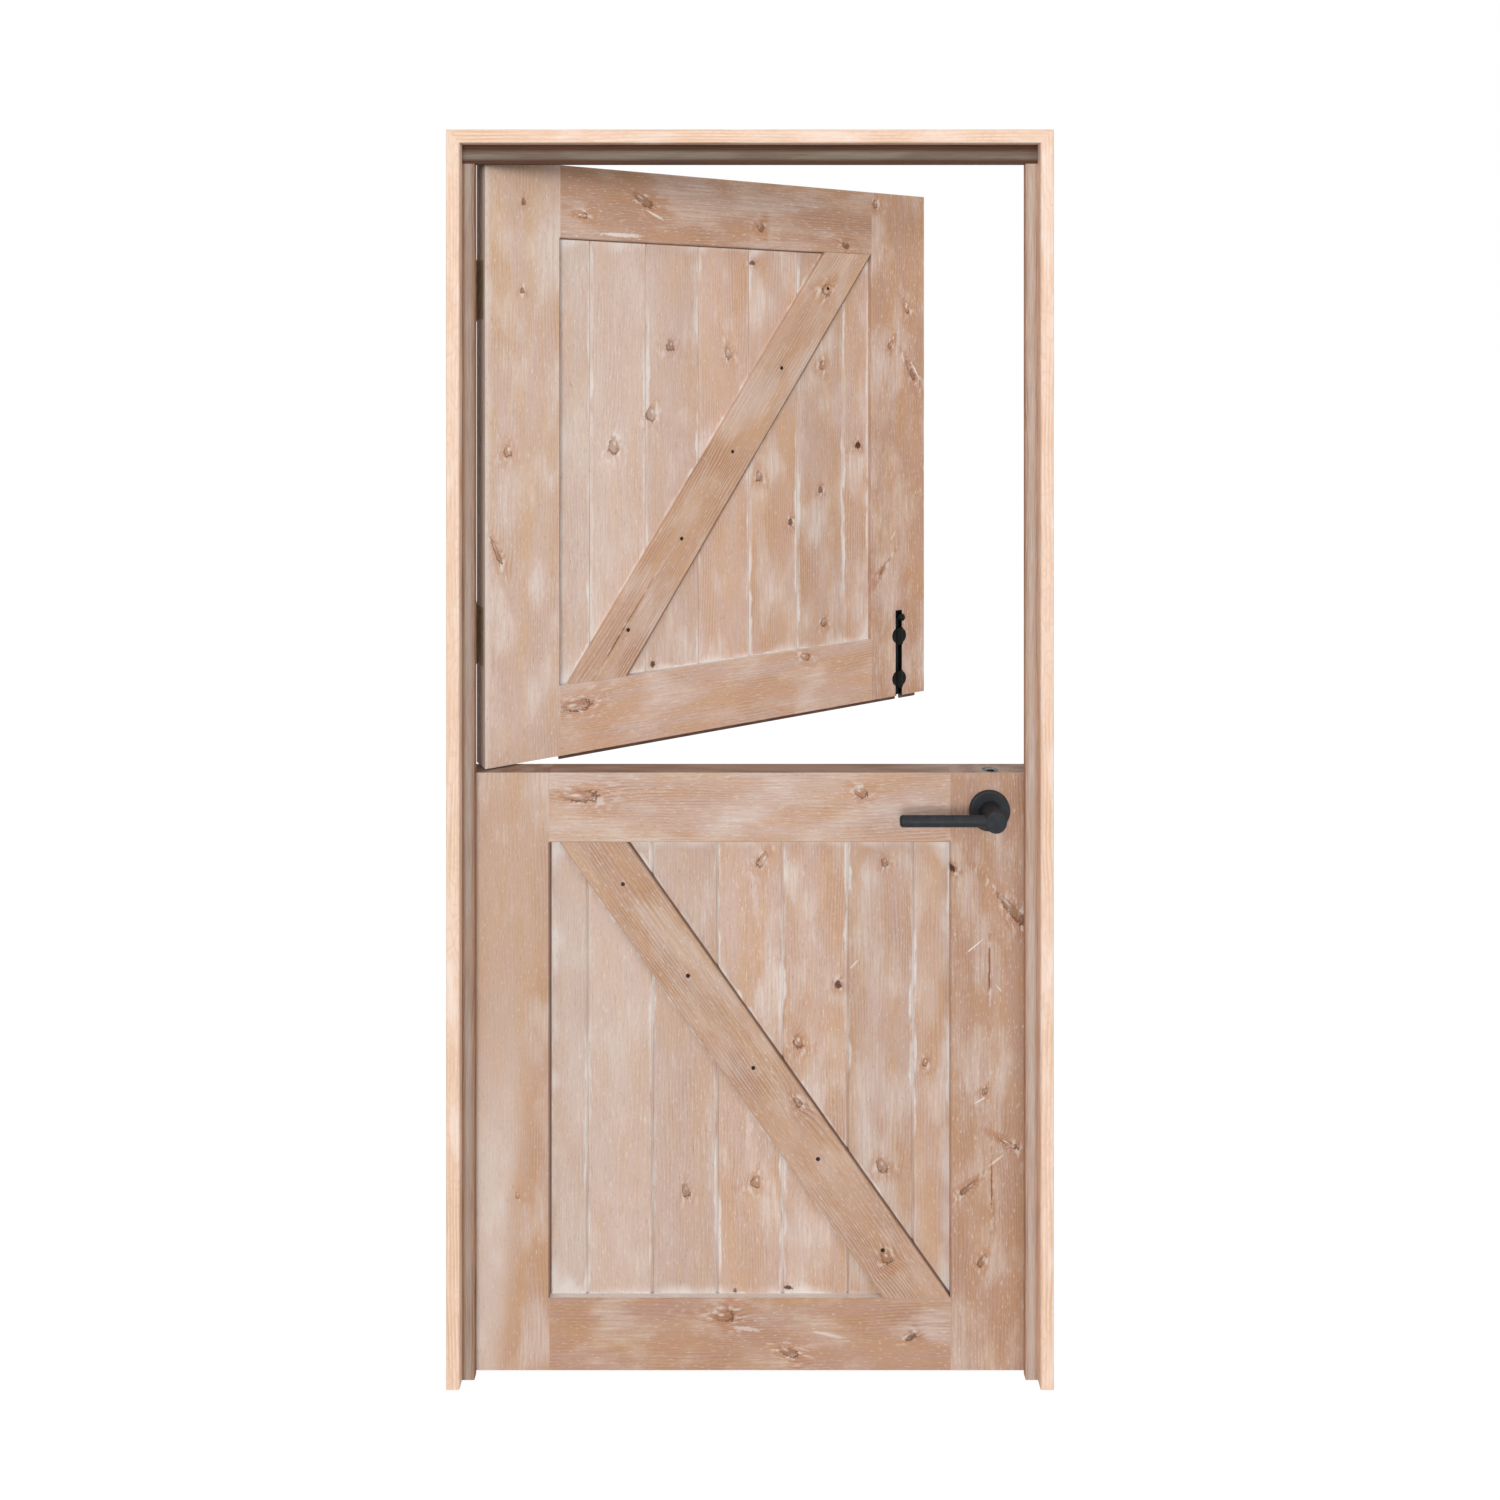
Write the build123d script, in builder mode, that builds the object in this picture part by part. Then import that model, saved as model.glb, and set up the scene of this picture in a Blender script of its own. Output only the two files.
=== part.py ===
from build123d import *
from collections import namedtuple
import math
import os

# A two-part stable door in its rebated frame. The upper leaf stands part open, the lower one is shut.
# X runs to the right and Y inwards, seen from outside. The origin is on the floor, midway between
# the jambs, in the plane of the jambs' front edges.

# Leaves
leaf_width = 942.0
leaf_thickness = 44.5
lower_leaf_height = 1001.5
upper_leaf_height = 1027.5
upper_open_angle = 31.0
floor_gap = 4.0
meeting_gap = 3.0
edge_gap = 3.0
stop_gap = 1.0

# Rails, stiles and their joints
stile_width = 135.0
upper_top_rail = 126.0
upper_bottom_rail = 122.0
lower_top_rail = 117.0
lower_bottom_rail = 120.0
tenon_web = 3.0
tenon_thickness = 14.0
tenon_shoulder = 16.0
panel_arris = 2.0

# Tongued boards and braces
board_cover = 109.6
board_thickness = 20.0
board_recess = 12.0
groove_depth = 10.0
groove_clearance = 1.0
tongue_thickness = 6.0
tongue_length = 6.0
board_vee = 3.0
brace_thickness = 11.0
brace_rail_width = 113.0
brace_corner_gap = 16.5
brace_arris = 1.5
brace_nail_shares = (0.092, 0.293, 0.495, 0.695, 0.895)
nail_head_radius = 4.0
nail_head_height = 1.6
nail_shank_radius = 1.5
nail_length = 24.0

# Frame
side_jamb_thickness = 35.0
head_jamb_thickness = 46.0
rebate_depth = 15.5
stop_depth = 14.0
casing_width = 22.0
casing_thickness = 20.0
casing_lap = 7.5
casing_arris = 1.5
fixing_hole_radius = 2.75
fixing_height_shares = (0.07, 0.36, 0.64, 0.93)
corner_screw_length = 75.0
corner_screw_shares = (0.3, 0.75)

# Butt hinges
hinge_height = 100.0
hinge_plate_width = 36.0
hinge_plate_thickness = 2.5
hinge_end_distance = 170.0
knuckle_count = 5
knuckle_radius = 5.0
knuckle_gap = 0.3
barrel_clearance = 0.5
pin_radius = 3.5
pin_clearance = 0.05
pin_head_radius = 4.6
pin_head_height = 3.0
hinge_screw_width_shares = (0.3, 0.7, 0.7, 0.3)
hinge_screw_height_shares = (0.13, 0.38, 0.62, 0.87)

# Countersunk screws
screw_head_radius = 4.2
screw_shank_radius = 2.2
screw_head_depth = 2.0
leaf_screw_length = 26.0
jamb_screw_length = 16.0
screw_tip = 4.0

# Lever set
lever_backset = 70.0
lever_drop = 62.5
rose_radius = 34.0
rose_thickness = 8.0
rose_edge = 2.5
hub_radius = 17.5
hub_gap = 0.3
hub_edge = 2.0
spigot_radius = 10.0
spigot_length = 6.0
spigot_clearance = 0.05
lever_standoff = 50.0
lever_bar_radius = 9.5
lever_length = 156.0
spindle_width = 8.0
spindle_seat = 30.0

# Tubular latch and strike
cross_bore_radius = 27.0
latch_bore_radius = 11.5
latch_case_radius = 11.2
latch_case_tail = 14.0
latch_hub_radius = 6.6
faceplate_width = 25.0
faceplate_height = 57.0
faceplate_thickness = 2.5
latch_bolt_thickness = 12.0
latch_bolt_height = 14.0
latch_bolt_tail = 30.0
latch_throw = 12.7
latch_bevel = 9.0
latch_clearance = 0.4
strike_width = 32.0
strike_height = 57.0
strike_thickness = 2.0
strike_hole_clearance = 1.2
strike_pocket_depth = 12.0
latch_screw_share = 0.36

# Slide bolt, keeper and seal
bolt_edge_distance = 66.0
bolt_axis_depth = 10.0
bolt_rod_radius = 6.0
bolt_rod_length = 168.0
bolt_clearance = 0.3
bolt_end_inset = 1.0
trough_wall = 2.0
trough_length = 175.0
guide_radius = 16.5
guide_thickness = 3.0
guide_rib_radius = 7.5
guide_heights = (35.0, 123.0)
knob_radius = 7.5
knob_neck_radius = 4.0
knob_height = 162.0
knob_standoff = 9.0
keeper_radius = 13.5
keeper_axis_depth = 15.5
keeper_thickness = 2.5
keeper_clearance = 0.6
keeper_socket_depth = 18.0
seal_drop = 8.0
seal_thickness = 5.0
seal_depth = 6.0
seal_set_in = 5.0
seal_end_gap = 20.0

# One length by which cutting shapes overrun what they cut
overrun = 5.0

os.makedirs("parts", exist_ok=True)

# Places that follow from the sizes
lower_leaf_bottom = floor_gap
upper_leaf_bottom = lower_leaf_bottom + lower_leaf_height + meeting_gap
leaf_front = stop_depth + stop_gap
jamb_depth = leaf_front + leaf_thickness
rebate_x = leaf_width / 2 + edge_gap
stop_x = rebate_x - rebate_depth
jamb_x = stop_x + side_jamb_thickness
head_rebate_z = upper_leaf_bottom + upper_leaf_height + edge_gap
head_stop_z = head_rebate_z - rebate_depth
head_top_z = head_stop_z + head_jamb_thickness
casing_x = jamb_x + casing_lap
casing_top_z = head_top_z + casing_lap
pin_offset = knuckle_radius + barrel_clearance
hinge_x = -(leaf_width + edge_gap) / 2
hinge_y = jamb_depth + pin_offset
tenon_length = stile_width - lever_backset - cross_bore_radius - tenon_web
panel_width = leaf_width - 2 * stile_width
full_boards = math.floor(panel_width / board_cover) - 1
board_ends = (panel_width - full_boards * board_cover) / 2
lever_along = leaf_width - lever_backset
lever_height = lower_leaf_height - lever_drop
bolt_along = leaf_width - bolt_edge_distance
latch_depth = leaf_thickness / 2
trough_half = bolt_rod_radius + bolt_clearance + trough_wall

Leaf = namedtuple("Leaf", "name turn bottom height top_rail bottom_rail brace_rises")
upper = Leaf("upper", upper_open_angle, upper_leaf_bottom, upper_leaf_height,
             upper_top_rail, upper_bottom_rail, True)
lower = Leaf("lower", 0.0, lower_leaf_bottom, lower_leaf_height,
             lower_top_rail, lower_bottom_rail, False)


def save(builder, name):
    """Labels a finished piece and writes it."""
    builder.part.label = name
    export_step(builder.part, "parts/" + name + ".step")


def panel_height(leaf):
    return leaf.height - leaf.top_rail - leaf.bottom_rail


def pin_plane(turn, height):
    """Level plane on the hinge pins: x along a leaf turned by that angle, y inwards, z up."""
    along = (math.cos(math.radians(turn)), math.sin(math.radians(turn)), 0)
    return Plane(origin=(hinge_x, hinge_y, height), x_dir=along, z_dir=(0, 0, 1))


def leaf_at(leaf, along, depth, height):
    """A place in a leaf, measured from its hinge edge, its front face and its bottom edge."""
    place = Pos(edge_gap / 2 + along, depth - leaf_thickness - pin_offset, height)
    return pin_plane(leaf.turn, leaf.bottom) * place


def leaf_face(leaf, depth):
    """An upright place in a leaf: x along it, y up, and z out of its front face."""
    return leaf_at(leaf, 0, depth, 0) * Rot(90, 0, 0)


def countersunk_screw(length):
    """A wood screw, with the top of its head at the origin and its point below."""
    with BuildPart() as screw:
        with BuildSketch(Plane.XZ):
            with BuildLine():
                Polyline((0, 0), (screw_head_radius, 0), (screw_shank_radius, -screw_head_depth),
                         (screw_shank_radius, screw_tip - length), (0, -length), close=True)
            make_face()
        revolve(axis=Axis.Z)
    return screw.part


leaf_screw = countersunk_screw(leaf_screw_length)
jamb_screw = countersunk_screw(jamb_screw_length)
corner_screw = countersunk_screw(corner_screw_length)

with BuildPart() as brace_nail:
    with BuildSketch(Plane.XZ):
        with BuildLine():
            ThreePointArc((0, nail_head_height),
                          (nail_head_radius * math.sin(math.pi / 4), nail_head_height * math.sin(math.pi / 4)),
                          (nail_head_radius, 0))
            Polyline((nail_head_radius, 0), (nail_shank_radius, 0), (nail_shank_radius, -nail_length),
                     (0, -nail_length), (0, nail_head_height))
        make_face()
    revolve(axis=Axis.Z)


def hinge_bottoms(leaf):
    """Heights of the lower ends of a leaf's two hinges."""
    return (leaf.bottom + hinge_end_distance,
            leaf.bottom + leaf.height - hinge_end_distance - hinge_height)


def hinge_screw_planes(turn, height, side):
    """Planes at a hinge plate's screws, facing out of the wood: side is 1 on a leaf and -1 on the jamb."""
    planes = []
    for width_share, height_share in zip(hinge_screw_width_shares, hinge_screw_height_shares):
        spot = Pos(side * edge_gap / 2, -pin_offset - hinge_plate_width * width_share,
                   hinge_height * height_share)
        planes.append(pin_plane(turn, height) * spot * Rot(0, -side * 90, 0))
    return planes


def hinge_plate(turn, height, side):
    """One half of a butt hinge: a flat plate with its share of the knuckles."""
    pitch = hinge_height / knuckle_count
    start = side * edge_gap / 2
    toward = Align.MIN if side > 0 else Align.MAX
    own = range(1 if side > 0 else 0, knuckle_count, 2)
    with BuildPart() as plate:
        with Locations(pin_plane(turn, height) * Pos(start, -pin_offset, 0)):
            Box(hinge_plate_thickness, hinge_plate_width, hinge_height,
                align=(toward, Align.MAX, Align.MIN))
        for index in own:
            base = pin_plane(turn, height) * Pos(0, 0, index * pitch + knuckle_gap / 2)
            with Locations(base):
                Cylinder(knuckle_radius, pitch - knuckle_gap, align=(Align.CENTER, Align.CENTER, Align.MIN))
            with Locations(base * Pos(start, 0, 0)):
                Box(hinge_plate_thickness, pin_offset, pitch - knuckle_gap,
                    align=(toward, Align.MAX, Align.MIN))
        with Locations(pin_plane(turn, height) * Pos(0, 0, hinge_height / 2)):
            Cylinder(pin_radius + pin_clearance, hinge_height + overrun, mode=Mode.SUBTRACT)
        with Locations(*hinge_screw_planes(turn, height, side)):
            add(leaf_screw if side > 0 else jamb_screw, mode=Mode.SUBTRACT)
    return plate


def cut_hinge_seats(turn, bottoms, side):
    """Cuts the plate seats and screw holes of hinges into the timber being made."""
    toward = Align.MIN if side > 0 else Align.MAX
    for height in bottoms:
        with Locations(pin_plane(turn, height) * Pos(side * edge_gap / 2, -pin_offset, 0)):
            Box(hinge_plate_thickness, hinge_plate_width, hinge_height,
                align=(toward, Align.MAX, Align.MIN), mode=Mode.SUBTRACT)
        with Locations(*hinge_screw_planes(turn, height, side)):
            add(leaf_screw if side > 0 else jamb_screw, mode=Mode.SUBTRACT)


# Latch screws stand in the leaf's edge, strike screws in the jamb's rebate
latch_screw_planes = [
    leaf_at(lower, leaf_width, latch_depth, lever_height + step * faceplate_height) * Rot(0, 90, 0)
    for step in (-latch_screw_share, latch_screw_share)]
strike_screw_planes = [
    leaf_at(lower, leaf_width + edge_gap, latch_depth, lever_height + step * strike_height) * Rot(0, -90, 0)
    for step in (-latch_screw_share, latch_screw_share)]

# Screws that draw the head down on the jambs
corner_screw_planes = [
    Plane((side * (rebate_x + jamb_x) / 2, stop_depth + share * (jamb_depth - stop_depth), head_top_z))
    for side in (-1, 1) for share in corner_screw_shares]
jamb_hinge_bottoms = hinge_bottoms(lower) + hinge_bottoms(upper)


def side_jamb(side):
    """A rebated jamb: side is -1 for the hinge jamb and 1 for the strike jamb."""
    with BuildPart() as jamb:
        with BuildSketch(Plane.XY):
            with BuildLine():
                Polyline((side * jamb_x, 0), (side * stop_x, 0), (side * stop_x, stop_depth),
                         (side * rebate_x, stop_depth), (side * rebate_x, jamb_depth),
                         (side * jamb_x, jamb_depth), close=True)
            make_face()
        extrude(amount=head_rebate_z)
        with Locations((side * jamb_x, 0, head_stop_z)):
            Box(2 * side_jamb_thickness, stop_depth, rebate_depth + overrun,
                align=(Align.CENTER, Align.MIN, Align.MIN), mode=Mode.SUBTRACT)
        for share in fixing_height_shares:
            with Locations((side * jamb_x, stop_depth / 2, share * head_stop_z)):
                Cylinder(fixing_hole_radius, 2 * side_jamb_thickness + overrun, rotation=(0, 90, 0),
                         mode=Mode.SUBTRACT)
        with Locations(*corner_screw_planes):
            add(corner_screw, mode=Mode.SUBTRACT)
        if side < 0:
            cut_hinge_seats(0, jamb_hinge_bottoms, side)
        else:
            strike_place = leaf_at(lower, leaf_width + edge_gap, latch_depth, lever_height)
            with Locations(strike_place):
                Box(strike_thickness, strike_width, strike_height,
                    align=(Align.MIN, Align.CENTER, Align.CENTER), mode=Mode.SUBTRACT)
                Box(strike_pocket_depth, latch_bolt_thickness + 2 * strike_hole_clearance,
                    latch_bolt_height + 2 * strike_hole_clearance,
                    align=(Align.MIN, Align.CENTER, Align.CENTER), mode=Mode.SUBTRACT)
            with Locations(*strike_screw_planes):
                add(jamb_screw, mode=Mode.SUBTRACT)
    return jamb


def side_casing(side):
    """A casing length, mitred at its top."""
    inner = casing_x - casing_width
    with BuildPart() as casing:
        with BuildSketch(Plane.XZ):
            with BuildLine():
                Polyline((side * casing_x, 0), (side * inner, 0), (side * inner, casing_top_z - casing_width),
                         (side * casing_x, casing_top_z), close=True)
            make_face()
        extrude(amount=casing_thickness)
        front = casing.faces().sort_by(Axis.Y)[0]
        chamfer(front.edges().filter_by(Axis.Z), casing_arris)
    return casing


save(side_jamb(-1), "hinge_jamb")
save(side_jamb(1), "strike_jamb")

with BuildPart() as head_jamb:
    with BuildSketch(Plane.YZ.offset(-jamb_x)):
        with BuildLine():
            Polyline((0, head_stop_z), (stop_depth, head_stop_z), (stop_depth, head_rebate_z),
                     (jamb_depth, head_rebate_z), (jamb_depth, head_top_z), (0, head_top_z), close=True)
        make_face()
    extrude(amount=2 * jamb_x)
    with Locations(*corner_screw_planes):
        add(corner_screw, mode=Mode.SUBTRACT)
save(head_jamb, "head_jamb")

with BuildPart() as corner_screws:
    with Locations(*corner_screw_planes):
        add(corner_screw)
save(corner_screws, "corner_screws")

save(side_casing(-1), "hinge_casing")
save(side_casing(1), "strike_casing")

with BuildPart() as head_casing:
    with BuildSketch(Plane.XZ):
        with BuildLine():
            Polyline((-casing_x, casing_top_z), (casing_x, casing_top_z),
                     (casing_x - casing_width, casing_top_z - casing_width),
                     (casing_width - casing_x, casing_top_z - casing_width), close=True)
        make_face()
    extrude(amount=casing_thickness)
    chamfer(head_casing.faces().sort_by(Axis.Y)[0].edges().filter_by(Axis.X), casing_arris)
save(head_casing, "head_casing")

# Jamb halves of the hinges, with the pins that stay in them
for number, height in enumerate(jamb_hinge_bottoms, start=1):
    save(hinge_plate(0, height, -1), f"jamb_hinge_plate_{number}")

with BuildPart() as hinge_pins:
    for height in jamb_hinge_bottoms:
        with Locations((hinge_x, hinge_y, height)):
            Cylinder(pin_radius, hinge_height, align=(Align.CENTER, Align.CENTER, Align.MIN))
        with Locations((hinge_x, hinge_y, height + hinge_height - knuckle_gap / 2)):
            Cylinder(pin_head_radius, pin_head_height, align=(Align.CENTER, Align.CENTER, Align.MIN))
        with Locations((hinge_x, hinge_y, height + knuckle_gap / 2)):
            Cylinder(pin_head_radius, pin_head_height, align=(Align.CENTER, Align.CENTER, Align.MAX))
    rims = hinge_pins.edges().filter_by(GeomType.CIRCLE).filter_by(lambda e: e.radius > pin_radius)
    chamfer(rims, pin_head_height / 4)
save(hinge_pins, "hinge_pins")

with BuildPart() as strike_plate:
    with Locations(leaf_at(lower, leaf_width + edge_gap, latch_depth, lever_height)):
        Box(strike_thickness, strike_width, strike_height, align=(Align.MIN, Align.CENTER, Align.CENTER))
        Box(strike_pocket_depth, latch_bolt_thickness + 2 * strike_hole_clearance,
            latch_bolt_height + 2 * strike_hole_clearance,
            align=(Align.MIN, Align.CENTER, Align.CENTER), mode=Mode.SUBTRACT)
    with Locations(*strike_screw_planes):
        add(jamb_screw, mode=Mode.SUBTRACT)
save(strike_plate, "strike_plate")

with BuildPart() as jamb_plate_screws:
    for height in jamb_hinge_bottoms:
        with Locations(*hinge_screw_planes(0, height, -1)):
            add(jamb_screw)
    with Locations(*strike_screw_planes):
        add(jamb_screw)
save(jamb_plate_screws, "jamb_plate_screws")


def brace_corners(leaf):
    """The brace's four corners on the leaf's face, from its hinge-side end round to its far end."""
    low = leaf.bottom_rail
    high = leaf.height - leaf.top_rail
    near, far = (low, high) if leaf.brace_rises else (high, low)
    start = stile_width + brace_corner_gap
    end = leaf_width - stile_width
    return [(start, near), (start + brace_rail_width, near), (end, far), (end - brace_rail_width, far)]


def brace_nail_planes(leaf):
    """Planes at the nails, on the middle line of the brace's front face."""
    corners = brace_corners(leaf)
    near = [(a + b) / 2 for a, b in zip(corners[0], corners[1])]
    far = [(a + b) / 2 for a, b in zip(corners[2], corners[3])]
    near_share, far_share = (1, 0) if leaf.brace_rises else (0, 1)
    face = leaf_face(leaf, board_recess - brace_thickness)
    planes = []
    for share in brace_nail_shares:
        run = near_share + (far_share - near_share) * share
        planes.append(face * Pos(near[0] + (far[0] - near[0]) * run, near[1] + (far[1] - near[1]) * run, 0))
    return planes


def stile(leaf, at_lock):
    """A full-height stile, with the boards' groove and the rails' mortises in its inner edge."""
    inner = leaf_width - stile_width if at_lock else stile_width
    outer = leaf_width if at_lock else 0
    way = 1 if at_lock else -1
    toward = Align.MIN if at_lock else Align.MAX
    with BuildPart() as timber:
        with BuildSketch(leaf_at(leaf, 0, 0, 0)):
            with BuildLine():
                Polyline((outer, 0), (inner, 0), (inner, leaf_thickness), (outer, leaf_thickness), close=True)
            make_face()
        extrude(amount=leaf.height)
        with BuildSketch(leaf_at(leaf, 0, 0, leaf.bottom_rail)):
            with BuildLine():
                Polyline((inner, 0), (inner + way * panel_arris, 0), (inner, panel_arris), close=True)
            make_face()
        extrude(amount=panel_height(leaf), mode=Mode.SUBTRACT)
        with Locations(leaf_at(leaf, inner, board_recess, leaf.bottom_rail - groove_depth)):
            Box(groove_depth, board_thickness, panel_height(leaf) + 2 * groove_depth,
                align=(toward, Align.MIN, Align.MIN), mode=Mode.SUBTRACT)
        for rail, base in ((leaf.bottom_rail, 0), (leaf.top_rail, leaf.height - leaf.top_rail)):
            with Locations(leaf_at(leaf, inner, leaf_thickness / 2, base + tenon_shoulder)):
                Box(tenon_length, tenon_thickness, rail - 2 * tenon_shoulder,
                    align=(toward, Align.CENTER, Align.MIN), mode=Mode.SUBTRACT)
        if not at_lock:
            cut_hinge_seats(leaf.turn, hinge_bottoms(leaf), 1)
        elif leaf is upper:
            cut_bolt_seat()
        else:
            cut_latch_seats()
    return timber


def rail(leaf, at_top):
    """A rail between the stiles, with a stub tenon at each end and a groove along its panel edge."""
    height = leaf.top_rail if at_top else leaf.bottom_rail
    base = leaf.height - leaf.top_rail if at_top else 0
    panel_edge = base if at_top else base + height
    way = 1 if at_top else -1
    toward = Align.MIN if at_top else Align.MAX
    middle = leaf_width / 2
    with BuildPart() as timber:
        with Locations(leaf_at(leaf, middle, 0, base)):
            Box(panel_width, leaf_thickness, height, align=(Align.CENTER, Align.MIN, Align.MIN))
        with Locations(leaf_at(leaf, middle, leaf_thickness / 2, base + tenon_shoulder)):
            Box(panel_width + 2 * tenon_length, tenon_thickness, height - 2 * tenon_shoulder,
                align=(Align.CENTER, Align.CENTER, Align.MIN))
        with Locations(leaf_at(leaf, middle, board_recess, panel_edge)):
            Box(panel_width, board_thickness, groove_depth,
                align=(Align.CENTER, Align.MIN, toward), mode=Mode.SUBTRACT)
        with BuildSketch(leaf_at(leaf, stile_width, 0, panel_edge) * Rot(0, 90, 0)):
            with BuildLine():
                Polyline((0, 0), (-way * panel_arris, 0), (0, panel_arris), close=True)
            make_face()
        extrude(amount=panel_width, mode=Mode.SUBTRACT)
        if leaf is upper and not at_top:
            cut_seal_groove()
    return timber


def board(leaf, index):
    """A tongued and grooved board with veed edges: its tongue is on the side away from the hinges."""
    last = full_boards + 1
    left = stile_width + (board_ends + (index - 1) * board_cover if index > 0 else groove_clearance - groove_depth)
    right = stile_width + (board_ends + index * board_cover if index < last
                           else panel_width + groove_depth - groove_clearance)
    front, back = board_recess, board_recess + board_thickness
    low_cheek = (front + back - tongue_thickness) / 2
    high_cheek = (front + back + tongue_thickness) / 2
    with BuildPart() as timber:
        with BuildSketch(leaf_at(leaf, 0, 0, leaf.bottom_rail + groove_clearance - groove_depth)):
            with BuildLine():
                if index > 0:
                    left_side = [(left + board_vee, front), (left, front + board_vee), (left, low_cheek),
                                 (left + tongue_length + groove_clearance, low_cheek),
                                 (left + tongue_length + groove_clearance, high_cheek), (left, high_cheek),
                                 (left, back - board_vee), (left + board_vee, back)]
                else:
                    left_side = [(left, front), (left, back)]
                if index < last:
                    right_side = [(right - board_vee, back), (right, back - board_vee), (right, high_cheek),
                                  (right + tongue_length, high_cheek), (right + tongue_length, low_cheek),
                                  (right, low_cheek), (right, front + board_vee), (right - board_vee, front)]
                else:
                    right_side = [(right, back), (right, front)]
                Polyline(*left_side, *right_side, close=True)
            make_face()
        extrude(amount=panel_height(leaf) + 2 * (groove_depth - groove_clearance))
        with Locations(*brace_nail_planes(leaf)):
            add(brace_nail.part, mode=Mode.SUBTRACT)
    return timber


def brace(leaf):
    """The slanting brace, nailed to the boards' faces and cut to fit between the rails."""
    with BuildPart() as timber:
        with BuildSketch(leaf_face(leaf, board_recess)):
            with BuildLine():
                Polyline(*brace_corners(leaf), close=True)
            make_face()
        extrude(amount=brace_thickness)
        outward = (math.sin(math.radians(leaf.turn)), -math.cos(math.radians(leaf.turn)), 0)
        front = timber.faces().sort_by(Axis((0, 0, 0), outward))[-1]
        long_edges = front.edges().sort_by(SortBy.LENGTH)[-2:]
        chamfer(long_edges, brace_arris)
        with Locations(*brace_nail_planes(leaf)):
            add(brace_nail.part, mode=Mode.SUBTRACT)
    return timber


def cut_bolt_seat():
    """Cuts the slot for the bolt's trough into the stile being made."""
    with Locations(leaf_at(upper, bolt_along, 0, 0)):
        Box(2 * trough_half, bolt_axis_depth + trough_half, trough_length,
            align=(Align.CENTER, Align.MIN, Align.MIN), mode=Mode.SUBTRACT)


def cut_latch_seats():
    """Cuts the lever's cross bore, the latch bore and the keeper's socket into the stile being made."""
    with Locations(leaf_at(lower, lever_along, latch_depth, lever_height)):
        Cylinder(cross_bore_radius, leaf_thickness + overrun, rotation=(90, 0, 0), mode=Mode.SUBTRACT)
        Cylinder(latch_bore_radius, lever_backset + overrun, rotation=(0, 90, 0),
                 align=(Align.CENTER, Align.CENTER, Align.MIN), mode=Mode.SUBTRACT)
    with Locations(leaf_at(lower, leaf_width, latch_depth, lever_height)):
        Box(faceplate_thickness, faceplate_width, faceplate_height,
            align=(Align.MAX, Align.CENTER, Align.CENTER), mode=Mode.SUBTRACT)
    with Locations(*latch_screw_planes):
        add(leaf_screw, mode=Mode.SUBTRACT)
    with Locations(leaf_at(lower, bolt_along, keeper_axis_depth, lower_leaf_height)):
        Cylinder(keeper_radius, keeper_thickness, align=(Align.CENTER, Align.CENTER, Align.MAX),
                 mode=Mode.SUBTRACT)
    with Locations(leaf_at(lower, bolt_along, bolt_axis_depth, lower_leaf_height)):
        Cylinder(bolt_rod_radius + keeper_clearance, keeper_socket_depth,
                 align=(Align.CENTER, Align.CENTER, Align.MAX), mode=Mode.SUBTRACT)


def cut_seal_groove():
    """Cuts the seal's groove into the underside of the rail being made."""
    with Locations(leaf_at(upper, leaf_width / 2, seal_depth, 0)):
        Box(leaf_width, seal_thickness, seal_set_in,
            align=(Align.CENTER, Align.MIN, Align.MIN), mode=Mode.SUBTRACT)


for leaf in (upper, lower):
    save(stile(leaf, False), leaf.name + "_hinge_stile")
    save(stile(leaf, True), leaf.name + "_lock_stile")
    save(rail(leaf, True), leaf.name + "_top_rail")
    save(rail(leaf, False), leaf.name + "_bottom_rail")
    for index in range(full_boards + 2):
        save(board(leaf, index), f"{leaf.name}_board_{index + 1}")
    save(brace(leaf), leaf.name + "_brace")
    with BuildPart() as brace_nails:
        with Locations(*brace_nail_planes(leaf)):
            add(brace_nail.part)
    save(brace_nails, leaf.name + "_brace_nails")
    for place, height in zip(("low", "high"), hinge_bottoms(leaf)):
        save(hinge_plate(leaf.turn, height, 1), f"{leaf.name}_hinge_plate_{place}")
    with BuildPart() as plate_screws:
        for height in hinge_bottoms(leaf):
            with Locations(*hinge_screw_planes(leaf.turn, height, 1)):
                add(leaf_screw)
        if leaf is lower:
            with Locations(*latch_screw_planes):
                add(leaf_screw)
    save(plate_screws, leaf.name + "_plate_screws")

# Cast body of the slide bolt: a trough let into the stile, bridged by two round guides
with BuildPart() as bolt_body:
    with Locations(leaf_at(upper, bolt_along, 0, 0)):
        Box(2 * trough_half, bolt_axis_depth + trough_half, trough_length,
            align=(Align.CENTER, Align.MIN, Align.MIN))
    for height in guide_heights:
        with Locations(leaf_at(upper, bolt_along, 0, height) * Rot(90, 0, 0)):
            Cylinder(guide_radius, guide_thickness, align=(Align.CENTER, Align.CENTER, Align.MIN))
        with Locations(leaf_at(upper, bolt_along, -guide_thickness / 2, height)):
            Cylinder(guide_rib_radius, 2 * guide_radius)
    with Locations(leaf_at(upper, bolt_along, bolt_axis_depth, 0)):
        Cylinder(bolt_rod_radius + bolt_clearance, 2 * (trough_length - trough_wall), mode=Mode.SUBTRACT)
    low_guide, high_guide = guide_heights
    open_spans = ((0, low_guide - guide_radius), (low_guide + guide_radius, high_guide - guide_radius),
                  (high_guide + guide_radius, trough_length - trough_wall))
    for bottom, top in open_spans:
        with Locations(leaf_at(upper, bolt_along, bolt_axis_depth, bottom)):
            Box(2 * (bolt_rod_radius + bolt_clearance), 2 * bolt_axis_depth, top - bottom,
                align=(Align.CENTER, Align.MAX, Align.MIN), mode=Mode.SUBTRACT)
save(bolt_body, "bolt_body")

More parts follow.
